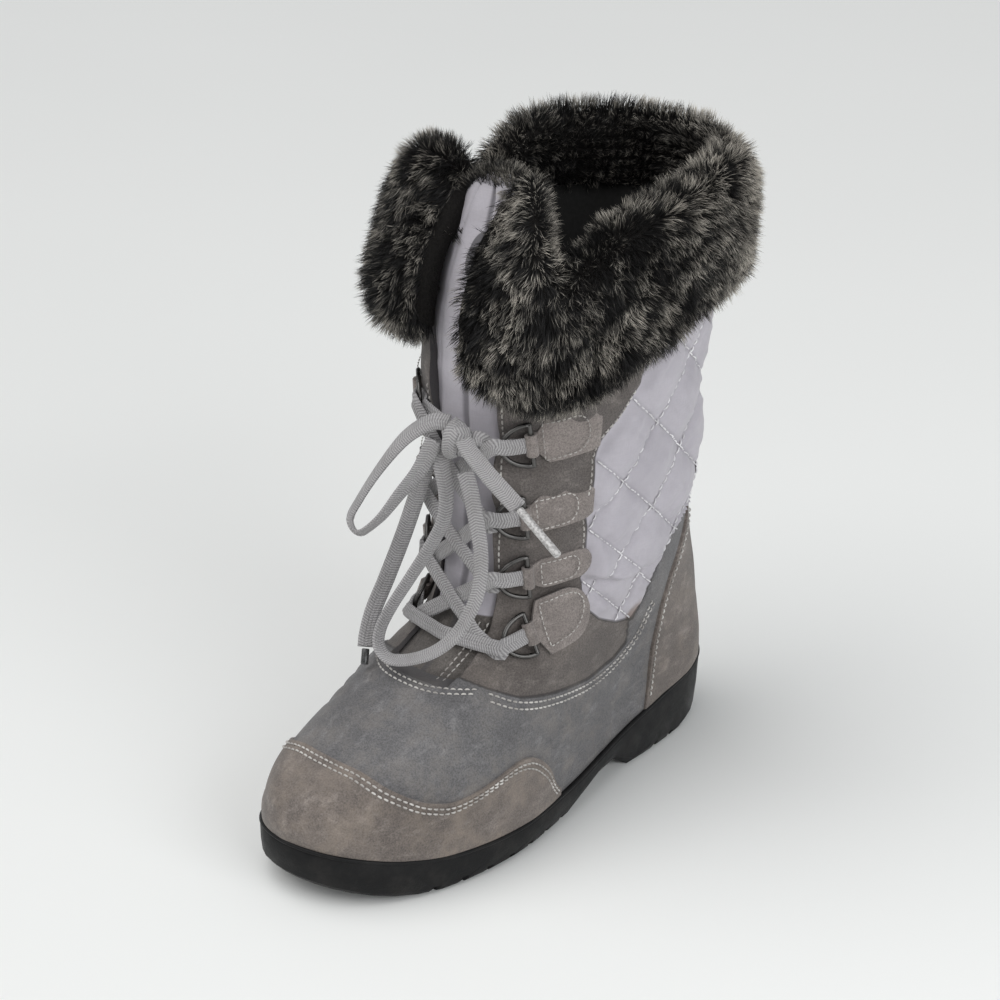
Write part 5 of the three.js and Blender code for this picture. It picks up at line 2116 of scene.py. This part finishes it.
# ---- studio ----
@dataclass
class Studio:
    """Camera, soft lights and a plain pale floor."""

    eye: tuple = (0.5715, -0.6830, 0.5380)
    right: tuple = (0.7268, 0.6867, 0.0114)
    down: tuple = (0.2727, -0.2733, -0.9225)
    ahead: tuple = (-0.6303, 0.6736, -0.3859)
    lens: float = 77.54
    shift: tuple = (0.112, -0.045)
    aim: tuple = (0.0, 0.0, 0.14)

    def camera(self) -> None:
        """The camera at its angle to the boot."""
        data = bpy.data.cameras.new("camera")
        data.lens, data.sensor_width = self.lens, 36.0
        data.shift_x, data.shift_y = self.shift
        data.clip_start = 0.01
        obj = linked("camera", data)
        turn = Matrix([self.right, [-v for v in self.down], [-v for v in self.ahead]]).transposed()
        obj.matrix_world = Matrix.Translation(self.eye) @ turn.to_4x4()
        bpy.context.scene.camera = obj

    def light(self, name: str, place: tuple, size: float, power: float, colour: tuple) -> None:
        """A square soft light that looks at the boot."""
        data = bpy.data.lights.new(name, "AREA")
        data.size, data.energy, data.color = size, power, colour
        obj = linked(name, data)
        obj.location = place
        way = Vector(self.aim) - Vector(place)
        obj.rotation_euler = way.to_track_quat("-Z", "Y").to_euler()

    def build(self, material: Material) -> None:
        """Lights, world and floor.

        Args:
            material: the floor's material.
        """
        self.light("key", (-0.5, -1.5, 1.3), 1.3, 6, (1.0, 0.985, 0.96))
        self.light("fill", (1.7, -0.3, 0.9), 1.4, 17, (0.97, 0.985, 1.0))
        data = bpy.data.lights.new("sky", "SUN")
        data.energy, data.angle = 1.45, math.radians(60)
        sun = linked("sky", data)
        sun.rotation_euler = (math.radians(22), math.radians(-14), 0)
        world = bpy.data.worlds.new("soft")
        bpy.context.scene.world = world
        world.use_nodes = True
        sky = world.node_tree.nodes["Background"]
        sky.inputs[0].default_value = (0.86, 0.88, 0.9, 1)
        sky.inputs[1].default_value = 0.4
        bpy.context.scene.view_settings.view_transform = "Standard"
        bpy.ops.object.select_all(action="DESELECT")
        bpy.ops.mesh.primitive_plane_add(size=14, location=(0, 0, 0))
        floor = bpy.context.object
        floor.name = "pale_floor"
        bpy.ops.object.transform_apply(location=True, rotation=True, scale=True)
        floor.data.materials.append(material)


def main() -> None:
    """Builds the studio, the laces and the boot, piece by piece."""
    logging.basicConfig(level=logging.INFO, format="%(message)s")
    studio, paints, lacing = Studio(), Finishes(), Lacing()
    studio.camera()
    studio.build(paints.floor())

    braid = paints.braid()
    knot = dress(lacing.knot(), braid)
    free = {name: dress(lacing.free(name), braid) for name in lacing.routes}
    film = paints.plastic("aglet_light", (0.5, 0.49, 0.48), (0.3, 0.29, 0.285))
    smoke = paints.plastic("aglet_dark", (0.05, 0.05, 0.052), (0.03, 0.03, 0.03))
    tips = {
        "lace_end_1": dress(lacing.aglet("aglet_1"), film),
        "lace_end_2": dress(lacing.aglet("aglet_2"), smoke),
    }
    lacing.declare(free, knot, tips)
    for piece in lacing.crossings():
        dress(piece, braid)

    upper = dress(Upper().build(), paints.upper())
    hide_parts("upper")
    tongue = Tongue()
    pad = dress(tongue.build(), paints.tongue())
    brown = paints.suede("overlay_suede", ((0.2, 0.172, 0.155), (0.135, 0.116, 0.105), (0.3, 0.262, 0.238)),
                         0.9)
    grey = paints.suede("chape_suede", ((0.27, 0.237, 0.222), (0.19, 0.167, 0.156), (0.37, 0.333, 0.31)),
                        0.2)
    for overlay in (ToeCap(), HeelCounter()):
        dress(overlay.build(), brown)
    rubber = paints.rubber()
    for piece in Sole().build():
        dress(piece, rubber)
    dress(from_node("insole_board", "insole", 0.5), paints.felt())
    nickel = paints.metal()
    for ring in RINGS:
        dress(ring.build(), nickel)
        dress(from_node(f"chape_suede_{ring.label}", f"chape_{ring.label}", 0.5), grey)
    tape = paints.suede("back_tape", ((0.035, 0.034, 0.036), (0.024, 0.024, 0.025), (0.06, 0.058, 0.06)),
                        0.1)
    dress(BackStrip().build(), tape)

    thread, seams = paints.thread("stitch_thread", (0.34, 0.32, 0.3), (0.62, 0.6, 0.57)), Seams()
    for row in (seams.vamp, seams.facings, seams.counter, seams.cap, seams.chapes):
        dress(row(), thread)
    white = paints.thread("quilt_thread", (0.62, 0.61, 0.62), (0.9, 0.89, 0.9))
    dress(seams.quilting(), white)
    dress(seams.foot(tongue), thread)

    cuff, hair = Cuff(), paints.fur()
    dress(cuff.backing(), paints.pile())
    for number in range(cuff.pieces):
        dress(cuff.hair(number), hair)
    dress(TongueFur().build(tongue), hair)


if __name__ == "__main__":
    main()
